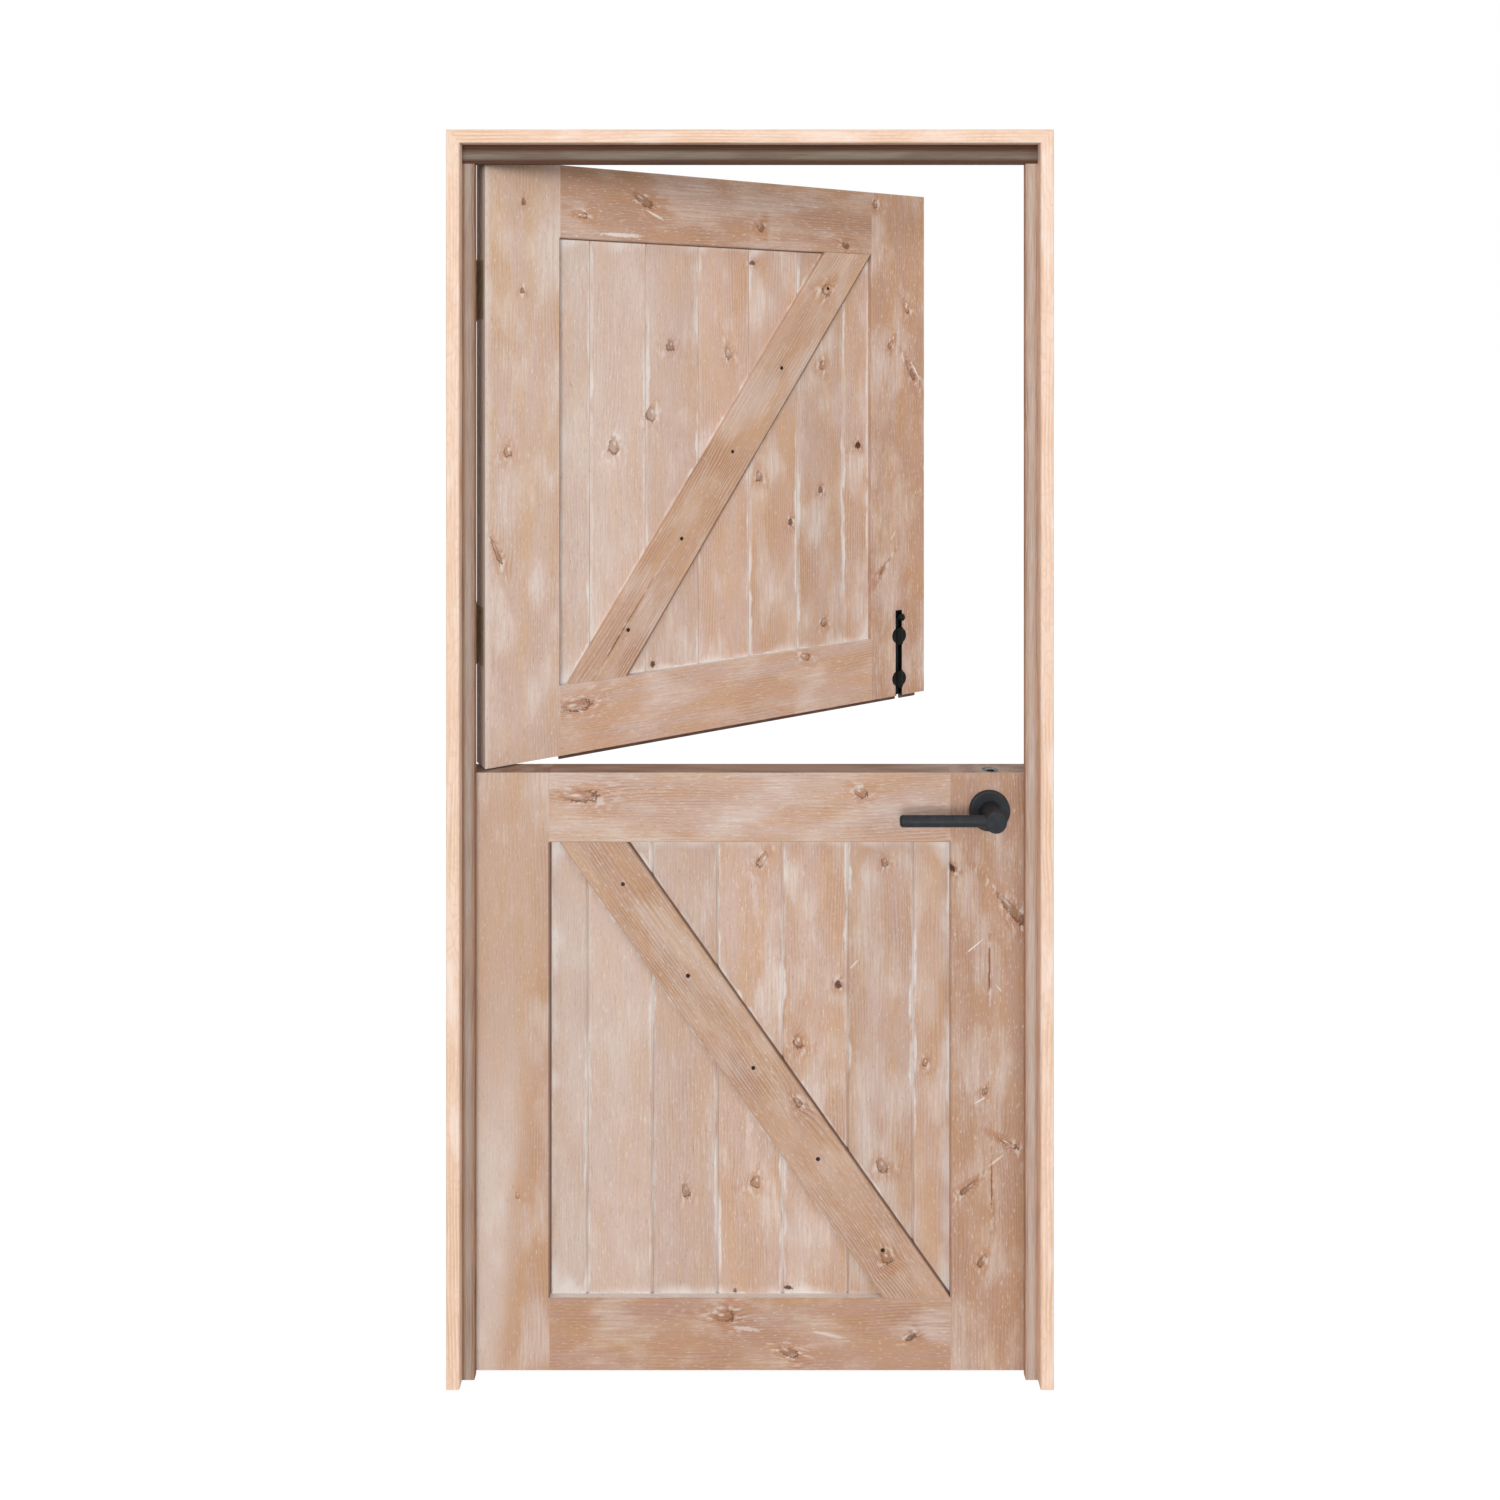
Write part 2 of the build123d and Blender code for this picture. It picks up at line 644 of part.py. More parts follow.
with BuildPart() as bolt_rod:
    with Locations(leaf_at(upper, bolt_along, bolt_axis_depth, bolt_end_inset)):
        Cylinder(bolt_rod_radius, bolt_rod_length, align=(Align.CENTER, Align.CENTER, Align.MIN))
    chamfer(bolt_rod.edges().filter_by(GeomType.CIRCLE).sort_by(Axis.Z)[0], bolt_rod_radius / 4)
    with Locations(leaf_at(upper, bolt_along, bolt_axis_depth, knob_height) * Rot(90, 0, 0)):
        Cylinder(knob_neck_radius, bolt_rod_radius + overrun,
                 align=(Align.CENTER, Align.CENTER, Align.MIN), mode=Mode.SUBTRACT)
save(bolt_rod, "bolt_rod")

with BuildPart() as bolt_knob:
    with Locations(leaf_at(upper, bolt_along, bolt_axis_depth, knob_height) * Rot(90, 0, 0)):
        Cylinder(knob_neck_radius, bolt_axis_depth + knob_standoff,
                 align=(Align.CENTER, Align.CENTER, Align.MIN))
    with Locations(leaf_at(upper, bolt_along, -knob_standoff, knob_height)):
        Sphere(knob_radius)
save(bolt_knob, "bolt_knob")

with BuildPart() as meeting_seal:
    seal_length = leaf_width - stile_width - seal_end_gap
    with Locations(leaf_at(upper, stile_width, seal_depth, -seal_drop)):
        Box(seal_length, seal_thickness, seal_drop, align=(Align.MIN, Align.MIN, Align.MIN))
    with Locations(leaf_at(upper, stile_width, seal_depth, -seal_drop)):
        Box(panel_width, seal_thickness, seal_drop + seal_set_in,
            align=(Align.MIN, Align.MIN, Align.MIN))
    tip = meeting_seal.edges().group_by(Axis.Z)[0].sort_by(SortBy.LENGTH)[-2:]
    chamfer(tip, seal_thickness / 4)
    with Locations(leaf_at(upper, bolt_along, bolt_axis_depth, -seal_drop)):
        Cylinder(bolt_rod_radius + keeper_clearance, 2 * seal_drop, mode=Mode.SUBTRACT)
save(meeting_seal, "meeting_seal")

with BuildPart() as bolt_keeper:
    with Locations(leaf_at(lower, bolt_along, keeper_axis_depth, lower_leaf_height)):
        Cylinder(keeper_radius, keeper_thickness, align=(Align.CENTER, Align.CENTER, Align.MAX))
    with Locations(leaf_at(lower, bolt_along, bolt_axis_depth, lower_leaf_height)):
        Cylinder(bolt_rod_radius + keeper_clearance, 2 * keeper_thickness + overrun, mode=Mode.SUBTRACT)
save(bolt_keeper, "bolt_keeper")


def rose(outside):
    """A round rose on one face of the lower leaf, bored to carry its lever."""
    depth, turn = (0, 90) if outside else (leaf_thickness, -90)
    with BuildPart() as plate:
        with Locations(leaf_at(lower, lever_along, depth, lever_height) * Rot(turn, 0, 0)):
            Cylinder(rose_radius, rose_thickness, align=(Align.CENTER, Align.CENTER, Align.MIN))
        rim = plate.faces().sort_by(Axis.Y)[0 if outside else -1].edges()
        fillet(rim, rose_edge)
        with Locations(leaf_at(lower, lever_along, depth, lever_height) * Rot(90, 0, 0)):
            Cylinder(spigot_radius + spigot_clearance, 2 * rose_thickness + overrun, mode=Mode.SUBTRACT)
    return plate


def lever(outside):
    """A round-bar lever on its hub, with a spigot that runs in the rose and a socket for the spindle."""
    depth, turn = (0, 90) if outside else (leaf_thickness, -90)
    foot = leaf_at(lower, lever_along, depth, lever_height) * Rot(turn, 0, 0)
    with BuildPart() as handle:
        with Locations(foot * Pos(0, 0, rose_thickness - spigot_length)):
            Cylinder(spigot_radius, lever_standoff + spigot_length - rose_thickness,
                     align=(Align.CENTER, Align.CENTER, Align.MIN))
        with Locations(foot * Pos(0, 0, rose_thickness + hub_gap)):
            Cylinder(hub_radius, lever_standoff + lever_bar_radius - rose_thickness - hub_gap,
                     align=(Align.CENTER, Align.CENTER, Align.MIN))
        fillet(handle.faces().sort_by(Axis.Y)[0 if outside else -1].edges(), hub_edge)
        with Locations(foot * Pos(0, 0, lever_standoff)):
            Cylinder(lever_bar_radius, lever_length, rotation=(0, -90, 0),
                     align=(Align.CENTER, Align.CENTER, Align.MIN))
        tip = handle.edges().filter_by(GeomType.CIRCLE).sort_by(Axis.X)[0]
        fillet(tip, lever_bar_radius / 2)
        with Locations(foot):
            Box(spindle_width, spindle_width, 2 * (spindle_seat + rose_thickness), mode=Mode.SUBTRACT)
    return handle


save(rose(True), "outer_rose")
save(rose(False), "inner_rose")
save(lever(True), "outer_lever")
save(lever(False), "inner_lever")

with BuildPart() as spindle:
    with Locations(leaf_at(lower, lever_along, latch_depth, lever_height)):
        Box(spindle_width, leaf_thickness + 2 * (spindle_seat + rose_thickness), spindle_width)
save(spindle, "spindle")

with BuildPart() as latch_case:
    with Locations(leaf_at(lower, leaf_width, latch_depth, lever_height)):
        Cylinder(latch_case_radius, lever_backset + latch_case_tail, rotation=(0, -90, 0),
                 align=(Align.CENTER, Align.CENTER, Align.MIN))
        Box(faceplate_thickness, faceplate_width, faceplate_height,
            align=(Align.MAX, Align.CENTER, Align.CENTER))
        Box(2 * (lever_backset + latch_case_tail + overrun), latch_bolt_thickness + 2 * latch_clearance,
            latch_bolt_height + 2 * latch_clearance, mode=Mode.SUBTRACT)
    with Locations(leaf_at(lower, lever_along, latch_depth, lever_height)):
        Cylinder(latch_hub_radius, leaf_thickness, rotation=(90, 0, 0), mode=Mode.SUBTRACT)
    with Locations(*latch_screw_planes):
        add(leaf_screw, mode=Mode.SUBTRACT)
save(latch_case, "latch_case")

with BuildPart() as latch_bolt:
    with BuildSketch(leaf_at(lower, leaf_width, latch_depth, lever_height - latch_bolt_height / 2)):
        half = latch_bolt_thickness / 2
        with BuildLine():
            Polyline((-latch_bolt_tail, -half), (latch_throw - latch_bevel, -half),
                     (latch_throw, half - latch_bolt_thickness / 4), (latch_throw, half),
                     (-latch_bolt_tail, half), close=True)
        make_face()
    extrude(amount=latch_bolt_height)
save(latch_bolt, "latch_bolt")
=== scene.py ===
import math

import bmesh
import bpy
import numpy
from mathutils import Matrix, Vector


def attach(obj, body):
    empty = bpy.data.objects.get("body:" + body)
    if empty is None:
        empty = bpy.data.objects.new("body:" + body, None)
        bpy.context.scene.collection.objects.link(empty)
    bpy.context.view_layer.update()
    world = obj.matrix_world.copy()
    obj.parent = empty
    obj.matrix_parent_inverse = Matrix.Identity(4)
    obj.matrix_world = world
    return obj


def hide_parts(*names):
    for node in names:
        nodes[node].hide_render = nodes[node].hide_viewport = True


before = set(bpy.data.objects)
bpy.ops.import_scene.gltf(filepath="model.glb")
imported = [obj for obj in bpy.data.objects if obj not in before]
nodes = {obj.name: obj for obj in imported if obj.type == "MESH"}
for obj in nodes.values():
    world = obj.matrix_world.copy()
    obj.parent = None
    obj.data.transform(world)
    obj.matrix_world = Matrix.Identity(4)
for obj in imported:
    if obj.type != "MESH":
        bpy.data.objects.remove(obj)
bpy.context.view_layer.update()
scene = bpy.context.scene


# Jambs and head
# Three rebated pine timbers, screwed together at the top corners and fixed into the wall.
# The brown stain has weathered grey in the middle of each narrow face; toward its edges it stays brown,
# which is painted shade.

def linear(code):
    """A colour written as a web code, as linear red, green, blue and one."""
    parts = [int(code[i:i + 2], 16) / 255 for i in (1, 3, 5)]
    return tuple(p / 12.92 if p <= 0.04045 else ((p + 0.055) / 1.055) ** 2.4 for p in parts) + (1.0,)


def add(tree, kind, inputs=(), **settings):
    """Adds a node and returns its outputs; each input is another node's output or a fixed value."""
    made = tree.nodes.new(kind if "Node" in kind else "ShaderNode" + kind)
    for key, value in settings.items():
        setattr(made, key, value)
    for key, value in inputs.items() if isinstance(inputs, dict) else enumerate(inputs):
        if isinstance(value, bpy.types.NodeSocket):
            tree.links.new(value, made.inputs[key])
        else:
            made.inputs[key].default_value = value
    return made.outputs


def new_pattern(name, inputs, outputs):
    """An empty pattern with named inputs, each of a kind, and named number outputs."""
    group = bpy.data.node_groups.new(name, "ShaderNodeTree")
    for socket, kind in inputs.items():
        group.interface.new_socket(socket, in_out="INPUT", socket_type="NodeSocket" + kind)
    for socket in outputs:
        group.interface.new_socket(socket, in_out="OUTPUT", socket_type="NodeSocketFloat")
    return group, group.nodes.new("NodeGroupInput").outputs, group.nodes.new("NodeGroupOutput").inputs


def new_material(name):
    """A material with nothing in it yet, and its tree."""
    material = bpy.data.materials.new(name)
    material.use_nodes = True
    material.node_tree.nodes.clear()
    return material, material.node_tree


# Ramps, here and below, are written as from low, from high, to low, to high.
eased = {"interpolation_type": "SMOOTHSTEP"}
scaled_sum = {"operation": "MULTIPLY_ADD"}
colours = {"data_type": "RGBA"}
millimetres = (1000.0, 1000.0, 1000.0)


def blotch_pattern():
    """Uneven blotches, about Size millimetres long in each direction."""
    group, given, result = new_pattern(
        "blotches", {"Place": "Vector", "Size": "Vector", "Detail": "Float"}, ["Amount"])
    scaled = add(group, "VectorMath", (given["Place"], given["Size"]), operation="DIVIDE")[0]
    amount = add(group, "TexNoise", {"Vector": scaled, "Scale": 1.0, "Detail": given["Detail"]})[0]
    group.links.new(amount, result["Amount"])
    return group


blotches = blotch_pattern()


def grain_pattern():
    """Growth rings, fibres and broad bands of a sawn face whose grain runs along Z, in millimetres.
    The fibres are drawn about 1 mm wide, coarser than they are, so that they show."""
    sway_size, sway_reach, swell_years = (62, 62, 420), 34.0, 2.6
    patch_size, patch_ramp = (60, 60, 170), (0.3, 0.75, 0.0, 1.0)
    band_size, band_ramp = (26, 26, 150), (0.34, 0.68, 0.0, 1.0)
    fibre_size = (1.2, 1.2, 42)
    late_from, late_peak = 0.1, 0.78
    group, given, result = new_pattern(
        "pine_grain", {"Place": "Vector", "Ring": "Float", "Swell": "Float"}, ["Rings", "Fibre", "Band"])
    place = given["Place"]
    sway = add(group, "Group", {"Place": place, "Size": sway_size, "Detail": 2.0}, node_tree=blotches)[0]
    across = add(group, "SeparateXYZ", (place,))[0]
    swayed = add(group, "Math", (sway, sway_reach, across), **scaled_sum)[0]
    years = add(group, "Math", (swayed, given["Ring"]), operation="DIVIDE")[0]
    years = add(group, "Math", (given["Swell"], swell_years, years), **scaled_sum)[0]
    year = add(group, "Math", (years,), operation="FRACT")[0]
    darkens = add(group, "MapRange", (year, late_from, late_peak, 0.0, 1.0), **eased)[0]
    stops = add(group, "MapRange", (year, late_peak, 1.0, 1.0, 0.0), **eased)[0]
    late = add(group, "Math", (darkens, stops), operation="MULTIPLY")[0]
    patch = add(group, "Group", {"Place": place, "Size": patch_size, "Detail": 2.0}, node_tree=blotches)[0]
    strength = add(group, "MapRange", (patch, *patch_ramp), **eased)[0]
    group.links.new(add(group, "Math", (late, strength), operation="MULTIPLY")[0], result["Rings"])
    fibre = add(group, "Group", {"Place": place, "Size": fibre_size, "Detail": 4.0}, node_tree=blotches)[0]
    group.links.new(fibre, result["Fibre"])
    band = add(group, "Group", {"Place": place, "Size": band_size, "Detail": 3.0}, node_tree=blotches)[0]
    group.links.new(add(group, "MapRange", (band, *band_ramp), **eased)[0], result["Band"])
    return group


pine_grain = grain_pattern()


def stained_pine(name, grain, seed, middle, half_width, axis, brown, late, grey):
    """Brown stain over open grain, greyed in the middle of the outward narrow face; its edges keep a painted
    shade.
    The eye gets a dull, slightly rough surface with fine lines along it.
    The face's middle and half width are in metres along the axis that runs across it."""
    ring_width, grey_share, brown_share = 4.0, 0.25, 0.85
    uneven_ramp, fibre_ramp = (0.0, 1.0, 0.65, 1.0), (0.3, 0.7, 0.84, 1.1)
    material, tree = new_material(name)
    object_place = add(tree, "TexCoord")["Object"]
    place = add(tree, "Mapping", {"Vector": object_place, "Location": seed, "Rotation": (0.0, grain, 0.0),
                                  "Scale": millimetres})[0]
    rings, fibre, band = add(tree, "Group", {"Place": place, "Ring": ring_width}, node_tree=pine_grain)
    stain = add(tree, "Mix", {0: rings, 6: linear(brown), 7: linear(late)}, **colours)[2]
    along_axis = add(tree, "SeparateXYZ", (object_place,))[axis]
    off = add(tree, "Math", (along_axis, middle), operation="SUBTRACT")[0]
    off = add(tree, "Math", (off,), operation="ABSOLUTE")[0]
    # Painted shade: the narrow face is brown toward its edges and grey only in its middle.
    unshaded_middle = add(tree, "MapRange", (off, half_width * grey_share, half_width * brown_share, 1.0, 0.0),
                    **eased)[0]
    uneven = add(tree, "MapRange", (band, *uneven_ramp), **eased)[0]
    weathered_unshaded_middle = add(tree, "Math", (unshaded_middle, uneven), operation="MULTIPLY")[0]
    colour = add(tree, "Mix", {0: weathered_unshaded_middle, 6: stain, 7: linear(grey)}, **colours)[2]
    tone = add(tree, "MapRange", (fibre, *fibre_ramp), **eased)[0]
    tone = add(tree, "CombineColor", (tone, tone, tone))[0]
    colour = add(tree, "Mix", {0: 1.0, 6: colour, 7: tone}, blend_type="MULTIPLY", **colours)[2]
    height = add(tree, "Math", (fibre, rings), operation="ADD")[0]
    bump = add(tree, "Bump", {"Height": height, "Strength": 0.35, "Distance": 0.0005})[0]
    surface = add(tree, "BsdfPrincipled", {"Base Color": colour, "Roughness": 0.68,
                                           "Specular IOR Level": 0.3, "Normal": bump})[0]
    add(tree, "OutputMaterial", (surface,))
    return material


def dress(names, material):
    """Gives each named node this material."""
    for name in names:
        nodes[name].data.materials.clear()
        nodes[name].data.materials.append(material)


upright, level = 0.0, math.radians(90)
stop_middle, stop_half = 0.46875, 0.01025
head_middle, head_half = 2.0375, 0.0125
# Painted shade and light: the head gets much darker shades for the shade under the casing, and the hinge
# jamb darker ones than the strike jamb for the light from the left.
for name, grain, seed, middle, half_width, axis, shades in (
        ("hinge_jamb", upright, (11, 4, 90), -stop_middle, stop_half, 0, ("#a4806a", "#82614d", "#a8998d")),
        ("strike_jamb", upright, (57, 8, 470), stop_middle, stop_half, 0, ("#c4a08a", "#a07b63", "#ccbbae")),
        ("head_jamb", level, (23, 2, 810), head_middle, head_half, 2, ("#553320", "#3f2415", "#857769"))):
    dress([name], stained_pine("stained_pine_" + name, grain, seed, middle, half_width, axis, *shades))


# Casing
# Flat strips of raw planed pine pinned round the front of the frame, mitred at the top.
# Pale and peachy, with an arched figure where the plane has cut across the rings.

def raw_pine(name, grain, seed):
    """Fresh planed pine: pale, low contrast, a slight sheen on the hard rings."""
    cream, pale_cream, late, arch_tan, bleached = "#f3d1b9", "#f8dcc9", "#e0b593", "#e6c3a4", "#fcebdf"
    arch_size, arch_count, arch_ramp = (34, 34, 75), 9.0, (0.0, 0.55, 0.5, 0.0)
    patch_size, patch_ramp = (30, 30, 140), (0.5, 0.7, 0.0, 0.6)
    ring_width, fibre_ramp, sheen_ramp = 6.5, (0.3, 0.7, 0.95, 1.03), (0.0, 1.0, 0.62, 0.5)
    material, tree = new_material(name)
    place = add(tree, "Mapping", {"Vector": add(tree, "TexCoord")["Object"], "Location": seed,
                                  "Rotation": (0.0, grain, 0.0), "Scale": millimetres})[0]
    rings, fibre, band = add(tree, "Group", {"Place": place, "Ring": ring_width}, node_tree=pine_grain)
    colour = add(tree, "Mix", {0: band, 6: linear(cream), 7: linear(pale_cream)}, **colours)[2]
    colour = add(tree, "Mix", {0: rings, 6: colour, 7: linear(late)}, **colours)[2]
    arch = add(tree, "Group", {"Place": place, "Size": arch_size, "Detail": 2.0}, node_tree=blotches)[0]
    arch = add(tree, "Math", (arch, arch_count), operation="MULTIPLY")[0]
    arch = add(tree, "Math", (arch,), operation="FRACT")[0]
    arch = add(tree, "MapRange", (arch, *arch_ramp), **eased)[0]
    colour = add(tree, "Mix", {0: arch, 6: colour, 7: linear(arch_tan)}, **colours)[2]
    patch = add(tree, "Group", {"Place": place, "Size": patch_size, "Detail": 3.0}, node_tree=blotches)[0]
    pale = add(tree, "MapRange", (patch, *patch_ramp), **eased)[0]
    colour = add(tree, "Mix", {0: pale, 6: colour, 7: linear(bleached)}, **colours)[2]
    tone = add(tree, "MapRange", (fibre, *fibre_ramp), **eased)[0]
    tone = add(tree, "CombineColor", (tone, tone, tone))[0]
    colour = add(tree, "Mix", {0: 1.0, 6: colour, 7: tone}, blend_type="MULTIPLY", **colours)[2]
    bump = add(tree, "Bump", {"Height": fibre, "Strength": 0.2, "Distance": 0.0003})[0]
    shine = add(tree, "MapRange", (rings, *sheen_ramp), **eased)[0]
    surface = add(tree, "BsdfPrincipled", {"Base Color": colour, "Roughness": shine,
                                           "Specular IOR Level": 0.3, "Normal": bump})[0]
    add(tree, "OutputMaterial", (surface,))
    return material


for name, grain, seed in (("hinge_casing", upright, (5, 60, 120)), ("strike_casing", upright, (71, 20, 733)),
                          ("head_casing", level, (37, 40, 351))):
    dress([name], raw_pine("raw_pine_" + name, grain, seed))


# Leaves
# Two framed and boarded leaves: four jointed timbers round V-jointed boards, with a brace nailed
# across the front. Knotty pine with a white lime finish rubbed on and mostly wiped off again.

def knot_pattern():
    """One knot: how far it swells the rings round it, its heart, its dark rim kept darkest on one side as
    painted shade, a painted highlight in the heart, and its stain.
    Across and Along are one over the knot's half sizes, laid along its own two axes."""
    taper, narrowest, raggedness = 0.3, 0.5, 1.2
    rim_at, rim_ramp, heart_ramp = 0.95, (0.03, 0.24, 1.0, 0.0), (0.6, 1.1, 1.0, 0.0)
    toward_lit_side, rim_shade_ramp = (0.5, 0.0, 0.7), (-0.4, 0.7, 1.0, 0.1)
    highlight_at, highlight_ramp, stain_ramp = (0.18, 0.0, 0.2), (0.1, 0.45, 1.0, 0.0), (0.8, 3.6, 1.0, 0.0)
    swell_narrowness, swell_fall = 0.16, -2.0
    group, given, result = new_pattern(
        "pine_knot", {"Place": "Vector", "Centre": "Vector", "Across": "Vector", "Along": "Vector",
                      "Ragged": "Float"}, ["Swell", "Heart", "Rim", "Painted highlight", "Stain"])
    off = add(group, "VectorMath", (given["Place"], given["Centre"]), operation="SUBTRACT")[0]
    across = add(group, "VectorMath", (off, given["Across"]), operation="DOT_PRODUCT")["Value"]
    along = add(group, "VectorMath", (off, given["Along"]), operation="DOT_PRODUCT")["Value"]
    pinch = add(group, "Math", (along, taper, 1.0), **scaled_sum)[0]
    pinch = add(group, "Math", (pinch, narrowest), operation="MAXIMUM")[0]
    narrow = add(group, "Math", (across, pinch), operation="MULTIPLY")[0]
    shape = add(group, "CombineXYZ", {0: narrow, 2: along})[0]
    length = add(group, "VectorMath", (shape,), operation="LENGTH")["Value"]
    edge = add(group, "Math", (given["Ragged"], raggedness, length), **scaled_sum)[0]
    edge = add(group, "Math", (edge, raggedness / 2), operation="SUBTRACT")[0]
    beside = add(group, "Math", (edge, rim_at), operation="SUBTRACT")[0]
    beside = add(group, "Math", (beside,), operation="ABSOLUTE")[0]
    ring = add(group, "MapRange", (beside, *rim_ramp), **eased)[0]
    # Painted shade: the rim fades toward the lit side of the knot and stays dark on the other.
    side = add(group, "VectorMath", (shape, toward_lit_side), operation="DOT_PRODUCT")["Value"]
    rim_shaded_side = add(group, "MapRange", (side, *rim_shade_ramp), **eased)[0]
    # Painted highlight: a pale spot set a little off the middle of the heart.
    off_highlight = add(group, "VectorMath", (shape, highlight_at), operation="DISTANCE")["Value"]
    square = add(group, "Math", (length, length), operation="MULTIPLY")[0]
    spread = add(group, "Math", (square, swell_narrowness, 1.0), **scaled_sum)[0]
    group.links.new(add(group, "Math", (spread, swell_fall), operation="POWER")[0], result["Swell"])
    group.links.new(add(group, "MapRange", (edge, *heart_ramp), **eased)[0], result["Heart"])
    group.links.new(add(group, "Math", (ring, rim_shaded_side), operation="MULTIPLY")[0], result["Rim"])
    group.links.new(add(group, "MapRange", (off_highlight, *highlight_ramp), **eased)[0], result["Painted highlight"])
    group.links.new(add(group, "MapRange", (length, *stain_ramp), **eased)[0], result["Stain"])
    return group


pine_knot = knot_pattern()


def limed_pine(name, leaf, grain, seed, shades, lime_share, knots, contrast=0.5, scratches=(), wash=None,
               boards=None, shaded_edge=None):
    """Knotty pine, limed: pink and tan bands under soft smears and flecks of chalky white.
    Each leaf is (turn, shift, height, painted light), and grain leans the fibres in its face; the painted
    light is a gain that makes a whole leaf paler.
    Shades are those of the early wood, its warm bands and the late wood."""
    material, tree = new_material("limed_pine_" + name)
    turn, shift, leaf_height, painted_light = leaf
    early, warm, late = shades
    on_leaf = add(tree, "Mapping", {"Vector": add(tree, "TexCoord")["Object"], "Location": shift,
                                    "Rotation": (0.0, 0.0, turn), "Scale": millimetres})[0]
    face = add(tree, "Mapping", {"Vector": on_leaf, "Rotation": (0.0, grain, 0.0)})[0]
    across_leaf, through_leaf, up_leaf = add(tree, "SeparateXYZ", (on_leaf,))
    ragged_size = (3.2, 3.2, 4.5)
    ragged = add(tree, "Group", {"Place": face, "Size": ragged_size, "Detail": 3.0}, node_tree=blotches)[0]

    def mark(across, up, half_width, stretch, lean):
        """A knot or scratch at a place on the leaf, stretched along the grain and leaning from it."""
        tilt, half_length = math.radians(lean), half_width * stretch
        centre = (across * math.cos(grain) + up * math.sin(grain), 0.0,
                  up * math.cos(grain) - across * math.sin(grain))
        return add(tree, "Group", {
            "Place": face, "Ragged": ragged, "Centre": centre,
            "Across": (math.cos(tilt) / half_width, 0.0, -math.sin(tilt) / half_width),
            "Along": (math.sin(tilt) / half_length, 0.0, math.cos(tilt) / half_length)}, node_tree=pine_knot)

    # Knots: each is across the leaf, up the leaf, half width, stretch, lean and darkness.
    swell, dark_heart, masks = 0.0, 0.0, {"Heart": 0.0, "Rim": 0.0, "Painted highlight": 0.0, "Stain": 0.0}
    for *placing, darkness in knots:
        one = mark(*placing)
        swell = add(tree, "Math", (swell, one["Swell"]), operation="ADD")[0]
        dark_heart = add(tree, "Math", (one["Heart"], darkness, dark_heart), **scaled_sum)[0]
        for key in masks:
            masks[key] = add(tree, "Math", (masks[key], one[key]), operation="MAXIMUM")[0]

    # Grain: bands of pink and tan with darker rings, which show most round a knot.
    board_step, ring_width, halo_share, clearer = (41.3, 19.0, 437.0), 5.5, 0.4, 0.5
    place = face
    if boards:
        first, cover, low_u, high_u, low_v, high_v, brace_lean = boards
        from_first = add(tree, "Math", (across_leaf, first), operation="SUBTRACT")[0]
        which = add(tree, "Math", (from_first, cover), operation="DIVIDE")[0]
        which = add(tree, "Math", (which,), operation="FLOOR")[0]
        step = add(tree, "CombineXYZ", (which, which, which))[0]
        place = add(tree, "VectorMath", (step, board_step, face), **scaled_sum)[0]
    place = add(tree, "VectorMath", (place, seed), operation="ADD")[0]
    rings, fibre, band = add(tree, "Group", {"Place": place, "Ring": ring_width, "Swell": swell},
                             node_tree=pine_grain)
    colour = add(tree, "Mix", {0: band, 6: linear(early), 7: linear(warm)}, **colours)[2]
    halo = add(tree, "Math", (masks["Stain"], halo_share), operation="MULTIPLY")[0]
    colour = add(tree, "Mix", {0: halo, 6: colour, 7: linear("#c2906f")}, **colours)[2]
    clear = add(tree, "Math", (masks["Stain"], clearer, contrast), **scaled_sum)[0]
    dark = add(tree, "Math", (rings, clear), operation="MULTIPLY")[0]
    colour = add(tree, "Mix", {0: dark, 6: colour, 7: linear(late)}, **colours)[2]

    # Lime wiped off: soft smears with faint streaks in them, less over the hard wood of a knot.
    # A wash is a side of the leaf that kept more of it, up to an edge that wanders.
    cloud_size, cloud_ramp = (55, 55, 120), (0.42, 0.68, 0.0, 1.0)
    streak_size, streak_ramp, knot_loss = (4, 4, 70), (0.35, 0.7, 0.45, 1.0), -0.4
    cloud = add(tree, "Group", {"Place": place, "Size": cloud_size, "Detail": 5.0}, node_tree=blotches)[0]
    smear = add(tree, "MapRange", (cloud, *cloud_ramp), **eased)[0]
    streak = add(tree, "Group", {"Place": place, "Size": streak_size, "Detail": 3.0}, node_tree=blotches)[0]
    streak = add(tree, "MapRange", (streak, *streak_ramp), **eased)[0]
    lime = add(tree, "Math", (smear, streak), operation="MULTIPLY")[0]
    lime = add(tree, "Math", (lime, lime_share), operation="MULTIPLY")[0]
    lime = add(tree, "Math", (masks["Stain"], knot_loss, lime), **scaled_sum, use_clamp=True)[0]
    if wash:
        full, gone, slope, wander, share, fade = wash
        wide_size, faded_share, smear_share, plain_share, fine_share = (40, 40, 120), 0.25, 0.35, 0.5, 0.25
        speck_size, speck_ramp = (3, 3, 4), (0.34, 0.62, 0.6, 1.0)
        wide = add(tree, "Group", {"Place": face, "Size": wide_size, "Detail": 4.0}, node_tree=blotches)[0]
        edge = add(tree, "Math", (up_leaf, -slope, across_leaf), **scaled_sum)[0]
        edge = add(tree, "Math", (wide, wander, edge), **scaled_sum)[0]
        cover_share = add(tree, "MapRange", (edge, full, gone, share, 0.0), **eased)[0]
        fading = add(tree, "MapRange", (up_leaf, fade, 2 * fade, 1.0, faded_share), **eased)[0]
        cover_share = add(tree, "Math", (cover_share, fading), operation="MULTIPLY")[0]
        speck = add(tree, "Group", {"Place": face, "Size": speck_size, "Detail": 3.0}, node_tree=blotches)[0]
